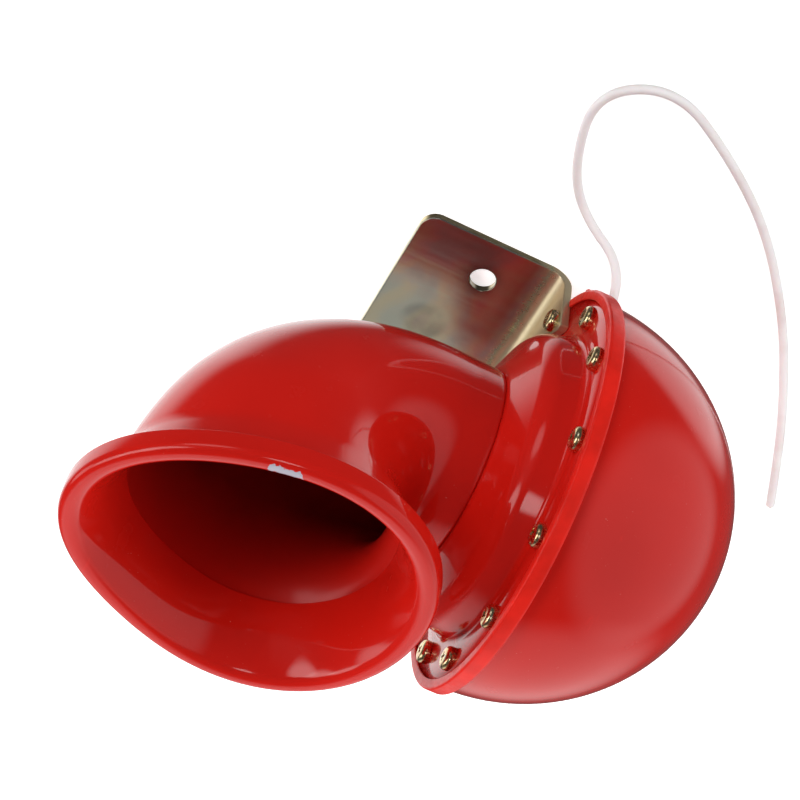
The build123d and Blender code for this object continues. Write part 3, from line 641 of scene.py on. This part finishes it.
# ---- pressed shells -----------------------------------------------------
class HORN_OT_dome(bpy.types.Operator):
    """Presses the rear dome with its flange and the hole for the grommet."""

    bl_idname = "horn.dome"
    bl_label = "Rear Dome"

    def execute(self, context):
        back = -GROOVE / 2
        rings = 48
        outer, inner = [], []
        for number in range(rings + 1):
            angle = pi / 2 * number / rings
            outer.append((back - DOME_DEPTH * sin(angle), DOME_RADIUS * cos(angle)))
            inner.append((back - (DOME_DEPTH - SHEET) * sin(angle), (DOME_RADIUS - SHEET) * cos(angle)))
        rim = [(back + SHEET, DOME_RADIUS - SHEET), (back + SHEET, FLANGE_RADIUS), (back, FLANGE_RADIUS)]
        profile = list(reversed(inner)) + rim + outer
        bm = turned(profile, (), CENTER, AHEAD, context.scene.horn_shape.turns, closed=False)
        bm = carved(bm, [rod(lead_exit() - LEAD_WAY * 3.0 * MM, LEAD_WAY, 2.75 * MM, 12.0 * MM)])
        dome = put("dome_shell", bm, enamel("dome enamel", context.scene.horn_finish.enamel))
        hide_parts("rear_dome")
        return {"FINISHED"}


class HORN_OT_cover(bpy.types.Operator):
    """Presses the front cover with its raised bulge and neck collar."""

    bl_idname = "horn.cover"
    bl_label = "Front Cover"

    def execute(self, context):
        face = GROOVE / 2
        collar = NECK_RADIUS - TRUMPET_WALL - 0.1 * MM
        profile = [
            (SEAT_X + 7.0 * MM, collar),
            (SEAT_X, collar),
            (SEAT_X, 35.2 * MM),
            (face + 11.2 * MM, 50.5 * MM),
            (face, 53.0 * MM),
            (face, FLANGE_RADIUS),
        ]
        rounding = [(4, 1.9 * MM, 8), (3, 4.4 * MM, 16), (2, 1.0 * MM, 6), (1, 0.8 * MM, 5)]
        bm = turned(profile, rounding, CENTER, AHEAD, context.scene.horn_shape.turns, closed=False)
        cover = put("cover_shell", bm, enamel("cover enamel", context.scene.horn_finish.enamel))
        thicken(cover, SHEET, -1.0 if faces_out(cover, CENTER) else 1.0)
        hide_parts("front_cover")
        return {"FINISHED"}


def flange_places(angles, along):
    """Places on the screw circle, at a distance along the horn's axis."""
    return [
        CENTER + AHEAD * along + Vector((0, cos(radians(a)), sin(radians(a)))) * SCREW_CIRCLE for a in angles
    ]


def thicken(obj, wall, offset):
    """Gives an open skin its sheet thickness."""
    sheet = obj.modifiers.new("sheet", "SOLIDIFY")
    sheet.thickness = wall
    sheet.offset = offset
    sheet.use_even_offset = True
    sheet.use_quality_normals = True


def faces_out(obj, middle):
    """Whether a skin's faces look away from a point on the whole."""
    return sum((face.center - middle).dot(face.normal) * face.area for face in obj.data.polygons) > 0


class HORN_OT_band(bpy.types.Operator):
    """Moulds the red rubber band, butted at a small tab and notched for the bracket."""

    bl_idname = "horn.band"
    bl_label = "Edge Band"

    def execute(self, context):
        inner = 66.6 * MM
        shelf = FLANGE_RADIUS + 0.05 * MM
        half = GROOVE / 2 + 0.02 * MM
        side = half + BAND_LIP
        crown = BAND_RADIUS + 0.15 * MM
        profile = [
            (-half, shelf),
            (-half, 67.9 * MM),
            (-side, 67.9 * MM),
            (-side, crown),
            (side, crown),
            (side, inner),
            (half, inner),
            (half, shelf),
        ]
        rounding = [(6, 0.15 * MM, 2), (5, 0.35 * MM, 4)]
        rounding += [(4, 0.95 * MM, 8), (3, 0.95 * MM, 8), (2, 0.3 * MM, 4)]
        bm = turned(profile, rounding, CENTER, AHEAD, context.scene.horn_shape.turns)
        leg = Vector((CENTER.x + GROOVE / 2 + 5.0 * MM, CENTER.y, 0.0))
        notch = block(leg, (10.0 * MM, 72.0 * MM, 60.0 * MM))
        joint = radians(227.2)
        way = Vector((0, cos(joint), sin(joint)))
        across = AHEAD.cross(way)
        slit = bmesh.new()
        gap = context.scene.horn_shape.band_gap
        seat = frame_at(CENTER + way * BAND_RADIUS, way, across)
        bmesh.ops.create_cube(
            slit, size=1.0, matrix=seat @ Matrix.Diagonal((gap, 20 * MM, 8 * MM, 1.0))
        )
        bm = carved(bm, [notch, slit])
        rubber = edging_rubber("band rubber", context.scene.horn_finish.edging)
        band = put("edge_strip", bm, rubber)
        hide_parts("edge_band")
        tab = bmesh.new()
        skin = CENTER + way * (crown - 0.1 * MM)
        outline(
            tab,
            [
                skin - AHEAD * side * 0.9 - across * 1.6 * MM,
                skin - AHEAD * side * 0.9 + across * 4.6 * MM,
                skin + AHEAD * side * 0.8 + across * 1.4 * MM,
                skin + AHEAD * side * 0.8 - across * 1.6 * MM,
            ],
            [(3, 0.4 * MM, 3), (2, 0.5 * MM, 3), (1, 0.4 * MM, 3), (0, 0.4 * MM, 3)],
        )
        raise_up(tab, way * 0.75 * MM)
        top = [e for e in tab.edges if all((v.co - skin).dot(way) > 0.4 * MM for v in e.verts)]
        break_edges(tab, top, 0.25 * MM, 3)
        close_up(tab)
        flash = put("band_tab", tab, rubber)
        return {"FINISHED"}


def raise_up(bm, step):
    """Fills a flat wire and pulls it up into a solid."""
    face = bmesh.ops.contextual_create(bm, geom=bm.edges[:])["faces"]
    if not face:
        raise RuntimeError("The outline could not be filled.")
    raised = bmesh.ops.extrude_face_region(bm, geom=face, use_keep_orig=True)
    moved = [part for part in raised["geom"] if isinstance(part, bmesh.types.BMVert)]
    bmesh.ops.translate(bm, verts=moved, vec=step)
    bmesh.ops.recalc_face_normals(bm, faces=bm.faces)


# ---- trumpet ------------------------------------------------------------
def trumpet_place(x, height):
    """A place over the horn's axis in the trumpet's leaning plane."""
    return CENTER + AHEAD * x + TRUMPET_UP * height


def flare_radius(height):
    """The elbow's outer radius where it follows the bell's liner."""
    liner = BELL_THROAT + BELL_SLOPE * (height - BELL_HEIGHT + BELL_DEPTH)
    return liner + BELL_WALL * sqrt(1 + BELL_SLOPE**2) + 0.1 * MM + TRUMPET_WALL


def out_of_true(bm):
    """Eases the trumpet out of round as it was pressed, from nothing at the bend to all of it at the rim."""
    for vert in bm.verts:
        away = vert.co - CENTER
        ahead = away.x - BELL_AXIS_X
        side = away.dot(TRUMPET_SIDE)
        share = (away.dot(TRUMPET_UP) - PRESS_LOW) / (PRESS_HIGH - PRESS_LOW)
        share = min(1.0, max(0.0, share))
        share *= share * (3 - 2 * share)
        turn = atan2(side, ahead)
        press = PRESS_WIDER
        for count, even, odd in PRESS_WAVES:
            press += even * cos(count * turn) + odd * sin(count * turn)
        press *= min(1.0, hypot(ahead, side) / PRESS_FULL)
        move = AHEAD * (PRESS_SHIFT[0] + press * cos(turn))
        move += TRUMPET_SIDE * (PRESS_SHIFT[1] + press * sin(turn))
        move += TRUMPET_UP * (PRESS_TIP[0] * ahead + PRESS_TIP[1] * side)
        vert.co += move * share


class HORN_OT_elbow(bpy.types.Operator):
    """Draws the swelling elbow from the neck round to the bell."""

    bl_idname = "horn.elbow"
    bl_label = "Trumpet Elbow"

    def execute(self, context):
        steps = context.scene.horn_shape.turns
        bend_start = BELL_AXIS_X - BEND_RADIUS
        stations = []
        for edge, inset in ((0.0, 0.55), (0.12, 0.25), (0.35, 0.08), (0.8, 0.0)):
            stations.append((trumpet_place(SEAT_X + edge * MM, 0), AHEAD, NECK_RADIUS - inset * MM))
        for number in range(1, 6):
            x = SEAT_X + (bend_start - SEAT_X) * (0.08 + 0.92 * number / 6)
            stations.append((trumpet_place(x, 0), AHEAD, NECK_RADIUS))
        rings = 56
        end = flare_radius(BEND_RADIUS)
        for number in range(rings + 1):
            share = number / rings
            bend = pi / 2 * share
            place = trumpet_place(bend_start + BEND_RADIUS * sin(bend), BEND_RADIUS * (1 - cos(bend)))
            ahead = AHEAD * cos(bend) + TRUMPET_UP * sin(bend)
            swell = sin(pi * share)
            heel = (AHEAD * sin(bend) - TRUMPET_UP * cos(bend)) * HEEL_SHIFT * swell
            radius = NECK_RADIUS + (end - NECK_RADIUS) * share**BEND_GROWTH + HEEL_SWELL * swell
            stations.append((place + heel, ahead, radius))
        for number in range(1, 9):
            height = BEND_RADIUS + FLARE_LENGTH * number / 8
            stations.append((trumpet_place(BELL_AXIS_X, height), TRUMPET_UP, flare_radius(height)))
        bm = bmesh.new()
        place, ahead, radius = stations[0]
        bmesh.ops.create_circle(
            bm, segments=steps, radius=radius, cap_ends=False, matrix=frame_at(place, ahead, TRUMPET_SIDE)
        )
        ring = bm.edges[:]
        for (place, ahead, radius), (last_place, last_ahead, last_radius) in zip(stations[1:], stations):
            grown = bmesh.ops.extrude_edge_only(bm, edges=ring)["geom"]
            verts = [part for part in grown if isinstance(part, bmesh.types.BMVert)]
            ring = [part for part in grown if isinstance(part, bmesh.types.BMEdge)]
            last = frame_at(last_place, last_ahead, TRUMPET_SIDE, last_radius)
            move = frame_at(place, ahead, TRUMPET_SIDE, radius) @ last.inverted()
            bmesh.ops.transform(bm, matrix=move, verts=verts)
        bmesh.ops.recalc_face_normals(bm, faces=bm.faces)
        out_of_true(bm)
        color = context.scene.horn_finish.enamel
        # the elbow carries a line of painted shadow under the bell's skirt
        elbow = put("elbow_shell", bm, enamel("elbow enamel", color, (ELBOW_GAP_SHADOW,)))
        # the inner wall gets the enamel with painted shade in its depth
        elbow.data.materials.append(shaded_throat_enamel("elbow inside", color))
        inward = -1.0 if faces_out(elbow, trumpet_place(BELL_AXIS_X, BEND_RADIUS)) else 1.0
        thicken(elbow, TRUMPET_WALL, inward)
        elbow.modifiers["sheet"].material_offset = 1
        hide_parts("trumpet_elbow")
        return {"FINISHED"}


class HORN_OT_bell(bpy.types.Operator):
    """Turns the bell mouth: a conical liner, a flat rolled rim and a skirt."""

    bl_idname = "horn.bell"
    bl_label = "Bell Mouth"

    def execute(self, context):
        steep = BELL_WALL * sqrt(1 + BELL_SLOPE**2)
        profile = [
            (-BELL_DEPTH, BELL_THROAT),
            (-7.5 * MM, BELL_INNER - 4.0 * MM),
            (0.0, BELL_INNER + 1.2 * MM),
            (0.0, BELL_RIM),
            (-BELL_SKIRT, BELL_RIM),
            (-BELL_SKIRT, BELL_RIM - BELL_WALL),
            (-BELL_WALL, BELL_RIM - BELL_WALL),
            (-BELL_WALL, BELL_INNER + steep),
            (-BELL_DEPTH, BELL_THROAT + steep),
        ]
        rounding = [(8, 0.3 * MM, 3), (7, 1.2 * MM, 6), (6, 1.4 * MM, 6), (5, 0.4 * MM, 3), (4, 0.5 * MM, 4)]
        rounding += [(3, 2.9 * MM, 14), (2, 2.4 * MM, 12), (1, 6.0 * MM, 12), (0, 0.3 * MM, 3)]
        middle = trumpet_place(BELL_AXIS_X, BELL_HEIGHT)
        bm = turned(profile, rounding, middle, TRUMPET_UP, context.scene.horn_shape.turns)
        out_of_true(bm)
        color = context.scene.horn_finish.enamel
        bell = put("bell_rim", bm, enamel("bell enamel", color, (BELL_CHIP,)))
        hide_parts("bell_mouth")
        return {"FINISHED"}


# ---- bracket ------------------------------------------------------------
class HORN_OT_bracket(bpy.types.Operator):
    """Bends, punches and plates the angle bracket."""

    bl_idname = "horn.bracket"
    bl_label = "Mounting Bracket"

    def execute(self, context):
        half = BRACKET_HIGH.y
        back = CENTER.x + GROOVE / 2
        front = BRACKET_HIGH.x
        top = BRACKET_HIGH.z
        points = [
            (back, 0.0),
            (front, 0.0),
            (front, PLATE),
            (back + PLATE, PLATE),
            (back + PLATE, top),
            (back, top),
        ]
        bm = bmesh.new()
        outline(
            bm,
            [Vector((x, -half, z)) for x, z in points],
            [(3, 5.0 * MM, 14), (0, 8.0 * MM, 18)],
        )
        raise_up(bm, Vector((0, 2 * half, 0)))
        corners = []
        for edge in bm.edges:
            first, second = (vert.co for vert in edge.verts)
            at_front = all(abs(x - front) < 0.01 * MM for x in (first.x, second.x))
            if at_front and abs(first.z - second.z) > MM:
                corners.append(edge)
        break_edges(bm, corners, 6.0 * MM, 12)
        cutters = [rod(hole, Vector((0, 0, 1)), PLATE_HOLE, 4 * PLATE, 64) for hole in PLATE_HOLES]
        middle = Vector((back + PLATE / 2, CENTER.y, CENTER.z))
        cutters.append(rod(middle, AHEAD, LEG_ARCH, 4 * PLATE, 192))
        bm = carved(bm, cutters)
        close_up(bm)
        finish = zinc_plate("bracket plate", context.scene.horn_finish.zinc, PLATE_HOLES)
        bracket = put("angle_bracket", bm, finish, hard_edge=radians(30))
        edge = bracket.modifiers.new("broken edge", "BEVEL")
        edge.width = 0.35 * MM
        edge.segments = 3
        edge.limit_method = "ANGLE"
        edge.angle_limit = radians(50)
        edge.harden_normals = False
        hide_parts("mounting_bracket")
        return {"FINISHED"}


# ---- screws -------------------------------------------------------------
def pan_screw(place, ahead, turn, steps):
    """A pan head screw with a tapered cross recess, its seat at place."""
    profile = [
        (SCREW_TIP, 0.0),
        (SCREW_TIP, SCREW_SHANK - 0.4 * MM),
        (SCREW_TIP + 0.4 * MM, SCREW_SHANK),
        (-0.2 * MM, SCREW_SHANK),
        (0.0, SCREW_SHANK + 0.2 * MM),
        (0.0, SCREW_HEAD),
        (SCREW_HEIGHT, SCREW_HEAD),
        (SCREW_HEIGHT, 0.0),
    ]
    bm = turned(profile, [(6, 1.8 * MM, 9), (5, 0.25 * MM, 3)], place, ahead, steps, closed=False)
    side = Matrix.Rotation(turn, 3, ahead) @ ahead.orthogonal().normalized()
    cutters = []
    for arm in (side, ahead.cross(side)):
        slot = bmesh.new()
        seat = frame_at(place + ahead * 3.2 * MM, ahead, arm)
        bmesh.ops.create_cube(slot, size=1.0, matrix=seat @ Matrix.Diagonal((*CROSS_ARM, 1.0)))
        low = [v for v in slot.verts if (v.co - place).dot(ahead) < 2.3 * MM]
        bmesh.ops.scale(slot, verts=low, vec=(0.42, 0.62, 1.0), space=seat.inverted())
        cutters.append(slot)
    return carved(bm, cutters)


class HORN_OT_screws(bpy.types.Operator):
    """Drives the twelve cross-recess screws round the flange."""

    bl_idname = "horn.screws"
    bl_label = "Flange Screws"

    def execute(self, context):
        steps = context.scene.horn_shape.screw_turns
        finish = zinc_screw("screw plating", shade(context.scene.horn_finish.zinc, 1.2))
        plain = [angle for angle in range(0, 360, 30) if angle not in BRACKET_ANGLES]
        sets = (
            ("cover_screws", "flange_screws", plain, GROOVE / 2),
            ("leg_screws", "bracket_screws", BRACKET_ANGLES, GROOVE / 2 + PLATE),
        )
        for name, node, angles, seat in sets:
            bm = bmesh.new()
            for number, place in enumerate(flange_places(angles, seat)):
                turn = radians(37.0 * number + 0.31 * angles[number] + 11.0)
                screw = pan_screw(place, AHEAD, turn, steps)
                mesh = bpy.data.meshes.new("screw")
                screw.to_mesh(mesh)
                screw.free()
                bm.from_mesh(mesh)
                bpy.data.meshes.remove(mesh)
            close_up(bm)
            obj = put(name, bm, finish, hard_edge=radians(30))
            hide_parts(node)
        return {"FINISHED"}


# ---- inner works --------------------------------------------------------
BOARD_SPECK = (0.25, 0.18, 0.12)
# each metal's color, roughness, grain and wear
METALS = {
    "ring steel": ((0.42, 0.41, 0.40), 0.38, (1.0, 0.2, 0.2), 0.4),
    "bright steel": ((0.60, 0.60, 0.59), 0.2, (0.05, 1.0, 1.0), 0.2),
    "bridge steel": ((0.45, 0.45, 0.44), 0.34, (0.1, 1.0, 1.0), 0.45),
    "spring sheet": ((0.33, 0.35, 0.38), 0.30, (1.0, 0.06, 1.0), 0.35),
    "wheel steel": ((0.36, 0.35, 0.34), 0.28, (0.3, 1.0, 1.0), 0.5),
    "black oxide": ((0.05, 0.05, 0.055), 0.4, PLAIN_GRAIN, 0.3),
    "can zinc": ((0.56, 0.57, 0.58), 0.30, (0.1, 1.0, 1.0), 0.3),
    "terminal brass": ((0.72, 0.52, 0.22), 0.3, PLAIN_GRAIN, 0.35),
    "holder brass": ((0.68, 0.48, 0.20), 0.33, PLAIN_GRAIN, 0.4),
    "front bronze": ((0.50, 0.32, 0.15), 0.5, (1.0, 1.0, 1.0), 0.3),
    "rear bronze": ((0.50, 0.32, 0.15), 0.5, (1.0, 1.0, 1.0), 0.3),
    "core laminations": ((0.30, 0.31, 0.33), 0.42, (3.0, 0.05, 0.05), 0.4),
    "winding copper": ((0.56, 0.20, 0.08), 0.3, (2.4, 0.08, 0.08), 0.5),
    "commutator copper": ((0.66, 0.32, 0.17), 0.28, (1.0, 0.06, 0.06), 0.6),
}
# each dull solid's color, roughness, fineness and speck
SOLIDS = {
    "rear board": ((0.12, 0.085, 0.06), 0.85, 700.0, BOARD_SPECK),
    "front board": ((0.13, 0.09, 0.06), 0.85, 700.0, BOARD_SPECK),
    "cap moulding": ((0.035, 0.034, 0.034), 0.42, 900.0, (0.09, 0.09, 0.09)),
    "ferrite": ((0.055, 0.055, 0.06), 0.7, 800.0, (0.13, 0.12, 0.12)),
    "brush carbon": ((0.03, 0.03, 0.032), 0.55, 900.0, (0.10, 0.10, 0.10)),
}
# the finish and the slot of each inner piece
WORKS = {
    "threaded_ring": ("ring steel", "plain_steel"),
    "anvil_washers": ("ring steel", "plain_steel"),
    "anvil_nut": ("ring steel", "plain_steel"),
    "motor_bridge": ("bridge steel", "plain_steel"),
    "diaphragm": ("spring sheet", "spring_steel"),
    "anvil_stud": ("bright steel", "hard_steel"),
    "ratchet_wheel": ("wheel steel", "hard_steel"),
    "wheel_set_screw": ("black oxide", "hard_steel"),
    "motor_shaft": ("bright steel", "hard_steel"),
    "rear_gasket": ("rear board", "gasket_board"),
    "front_gasket": ("front board", "gasket_board"),
    "motor_can": ("can zinc", "zinc_can"),
    "motor_end_cap": ("cap moulding", "cap_plastic"),
    "motor_terminals": ("terminal brass", "brass"),
    "brush_holders": ("holder brass", "brass"),
    "front_bush": ("front bronze", "sintered_bronze"),
    "rear_bush": ("rear bronze", "sintered_bronze"),
    "field_magnets": ("ferrite", "ferrite"),
    "rotor_core": ("core laminations", "core_steel"),
    "rotor_windings": ("winding copper", "copper_wire"),
    "commutator": ("commutator copper", "commutator_copper"),
    "brushes": ("brush carbon", "carbon"),
    "inner_lead": ("inner covering", "white_insulation"),
    "motor_screws": ("motor screw plating", "yellow_zinc_screw"),
    "bridge_screws": ("motor screw plating", "yellow_zinc_screw"),
}


class HORN_OT_works(bpy.types.Operator):
    """Finishes the motor, the diaphragm and the other inner pieces."""

    bl_idname = "horn.works"
    bl_label = "Inner Works"

    def execute(self, context):
        colors = context.scene.horn_finish
        made = {name: worked_metal(name, *values) for name, values in METALS.items()}
        made.update({name: dull_solid(name, *values) for name, values in SOLIDS.items()})
        made["inner covering"] = insulation("inner covering", colors.insulation)
        made["motor screw plating"] = zinc_screw("motor screw plating", shade(colors.zinc, 1.2))
        for node, (finish, slot) in WORKS.items():
            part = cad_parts[node]
            for holder in part.material_slots:
                holder.material = made[finish]
        return {"FINISHED"}


# ---- stage --------------------------------------------------------------
def area_light(name, place, target, size, power):
    light = bpy.data.lights.new(name, "AREA")
    light.shape = "RECTANGLE"
    light.size, light.size_y = size
    light.energy = power
    obj = bpy.data.objects.new(name, light)
    obj.matrix_world = frame_at(Vector(place), Vector(place) - Vector(target), Vector((1, 0, 0.01)))
    bpy.context.scene.collection.objects.link(obj)
    return obj


# the room's own strength, and its panels: direction, inner and outer angle in degrees, strength
ROOM_DARK = 0.08
ROOM_PANELS = (
    ((-0.92, -0.30, 0.25), 38.0, 52.0, 0.62),
    ((0.84, -0.25, 0.50), 6.0, 14.0, 3.4),
    ((0.84, 0.05, 0.53), 6.0, 14.0, 3.4),
    ((0.82, 0.34, 0.46), 6.0, 14.0, 3.0),
    ((0.72, -0.70, 0.02), 4.0, 14.0, 1.6),
    ((0.80, 0.57, 0.15), 6.0, 15.0, 1.8),
    ((-0.52, -0.16, -0.84), 14.0, 25.0, 1.2),
    ((-0.40, 0.86, 0.30), 26.0, 46.0, 0.80),
    ((0.35, 0.50, -0.79), 20.0, 40.0, 1.25),
    ((0.20, -0.56, 0.80), 4.0, 9.0, 4.5),
)


class HORN_OT_stage(bpy.types.Operator):
    """Sets the white floor, the lights and the camera."""

    bl_idname = "horn.stage"
    bl_label = "Stage"

    def execute(self, context):
        scene = context.scene
        stage = scene.horn_stage
        camera = bpy.data.cameras.new("camera")
        camera.lens = stage.camera_lens
        camera.sensor_width = 36.0
        camera.clip_start = 0.01
        camera.clip_end = 50.0
        view = bpy.data.objects.new("camera", camera)
        right = Vector((-0.8960, -0.4298, -0.1115))
        back = Vector((0.1941, -0.6051, 0.7721))
        view.matrix_world = frame_at(Vector(stage.camera_place), back, right)
        scene.collection.objects.link(view)
        scene.camera = view
        floor = bmesh.new()
        bmesh.ops.create_grid(floor, x_segments=2, y_segments=2, size=stage.floor_size / 2)
        sheet = put("white_floor", floor, self.paper())
        sheet.visible_glossy = False
        sheet.visible_diffuse = False
        sheet.visible_shadow = False
        self.room(scene)
        target = (-0.02, 0.0, 0.07)
        for name, place, size, power in (
            ("dome fill", (-1.00, -0.70, 0.35), (0.7, 0.6), 7.0),
            ("mouth fill", (1.00, -0.75, 0.40), (0.7, 0.6), 7.3),
            ("far fill", (-0.10, 1.10, 0.70), (0.9, 0.6), 12.0),
        ):
            light = area_light(name, place, target, size, power)
            light.visible_glossy = False
        scene.view_settings.view_transform = "Standard"
        return {"FINISHED"}

    def room(self, scene):
        """A dim room with soft bright panels, added up from the dark room."""
        world = bpy.data.worlds.new("soft room")
        scene.world = world
        world.use_nodes = True
        tree = world.node_tree
        way = add_node(tree, "ShaderNodeTexCoord").outputs["Generated"]
        total = None
        for direction, inner, outer, strength in ROOM_PANELS:
            facing = Vector(direction).normalized()
            along = add_node(tree, "ShaderNodeVectorMath", [(0, way), (1, facing)], operation="DOT_PRODUCT")
            span = [
                ("Value", along.outputs["Value"]),
                ("From Min", cos(radians(outer))),
                ("From Max", cos(radians(inner))),
                ("To Max", strength),
            ]
            panel = add_node(tree, "ShaderNodeMapRange", span, interpolation_type="SMOOTHSTEP")
            glow = panel.outputs["Result"]
            if total is None:
                total = glow
            else:
                both = add_node(tree, "ShaderNodeMath", [(0, total), (1, glow)], operation="ADD")
                total = both.outputs["Value"]
        lift = add_node(tree, "ShaderNodeMath", [(0, total), (1, ROOM_DARK)], operation="ADD")
        backdrop = tree.nodes["Background"]
        backdrop.inputs["Color"].default_value = (1.0, 1.0, 1.0, 1.0)
        tree.links.new(lift.outputs["Value"], backdrop.inputs["Strength"])

    def paper(self):
        f = Finish("white sweep", (0.93, 0.93, 0.93), 0.9, Specular_IOR_Level=0.1, Emission_Strength=0.62)
        f.shader.inputs["Emission Color"].default_value = (1.0, 1.0, 1.0, 1.0)
        f.paint(color=f.mix(f.noise(6.0, 2.0), (0.92, 0.92, 0.92), (0.94, 0.94, 0.94)))
        return f.material


# ---- sidebar ------------------------------------------------------------
class HORN_PT_kit(bpy.types.Panel):
    """Buttons and values of the motor horn."""

    bl_idname = "HORN_PT_kit"
    bl_label = "Motor Horn"
    bl_space_type = "VIEW_3D"
    bl_region_type = "UI"
    bl_category = "Horn"

    def draw(self, context):
        layout = self.layout
        scene = context.scene
        for props in (scene.horn_finish, scene.horn_shape, scene.horn_stage):
            box = layout.box()
            for name in props.bl_rna.properties.keys():
                if name not in ("rna_type", "name"):
                    box.prop(props, name)
        for operator in STEPS:
            layout.operator(operator.bl_idname)


STEPS = (
    HORN_OT_stage,
    HORN_OT_lead,
    HORN_OT_grommet,
    HORN_OT_dome,
    HORN_OT_cover,
    HORN_OT_band,
    HORN_OT_elbow,
    HORN_OT_bell,
    HORN_OT_bracket,
    HORN_OT_screws,
    HORN_OT_works,
)
CLASSES = (HornFinishProps, HornShapeProps, HornStageProps, *STEPS, HORN_PT_kit)


def register():
    for cls in CLASSES:
        bpy.utils.register_class(cls)
    bpy.types.Scene.horn_finish = PointerProperty(type=HornFinishProps)
    bpy.types.Scene.horn_shape = PointerProperty(type=HornShapeProps)
    bpy.types.Scene.horn_stage = PointerProperty(type=HornStageProps)


def unregister():
    del bpy.types.Scene.horn_stage
    del bpy.types.Scene.horn_shape
    del bpy.types.Scene.horn_finish
    for cls in reversed(CLASSES):
        bpy.utils.unregister_class(cls)


def main():
    register()
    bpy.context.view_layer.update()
    bpy.ops.horn.stage()
    bpy.ops.horn.lead()
    bpy.ops.horn.grommet()
    bpy.ops.horn.dome()
    bpy.ops.horn.cover()
    bpy.ops.horn.band()
    bpy.ops.horn.elbow()
    bpy.ops.horn.bell()
    bpy.ops.horn.bracket()
    bpy.ops.horn.screws()
    bpy.ops.horn.works()


if __name__ == "__main__":
    main()
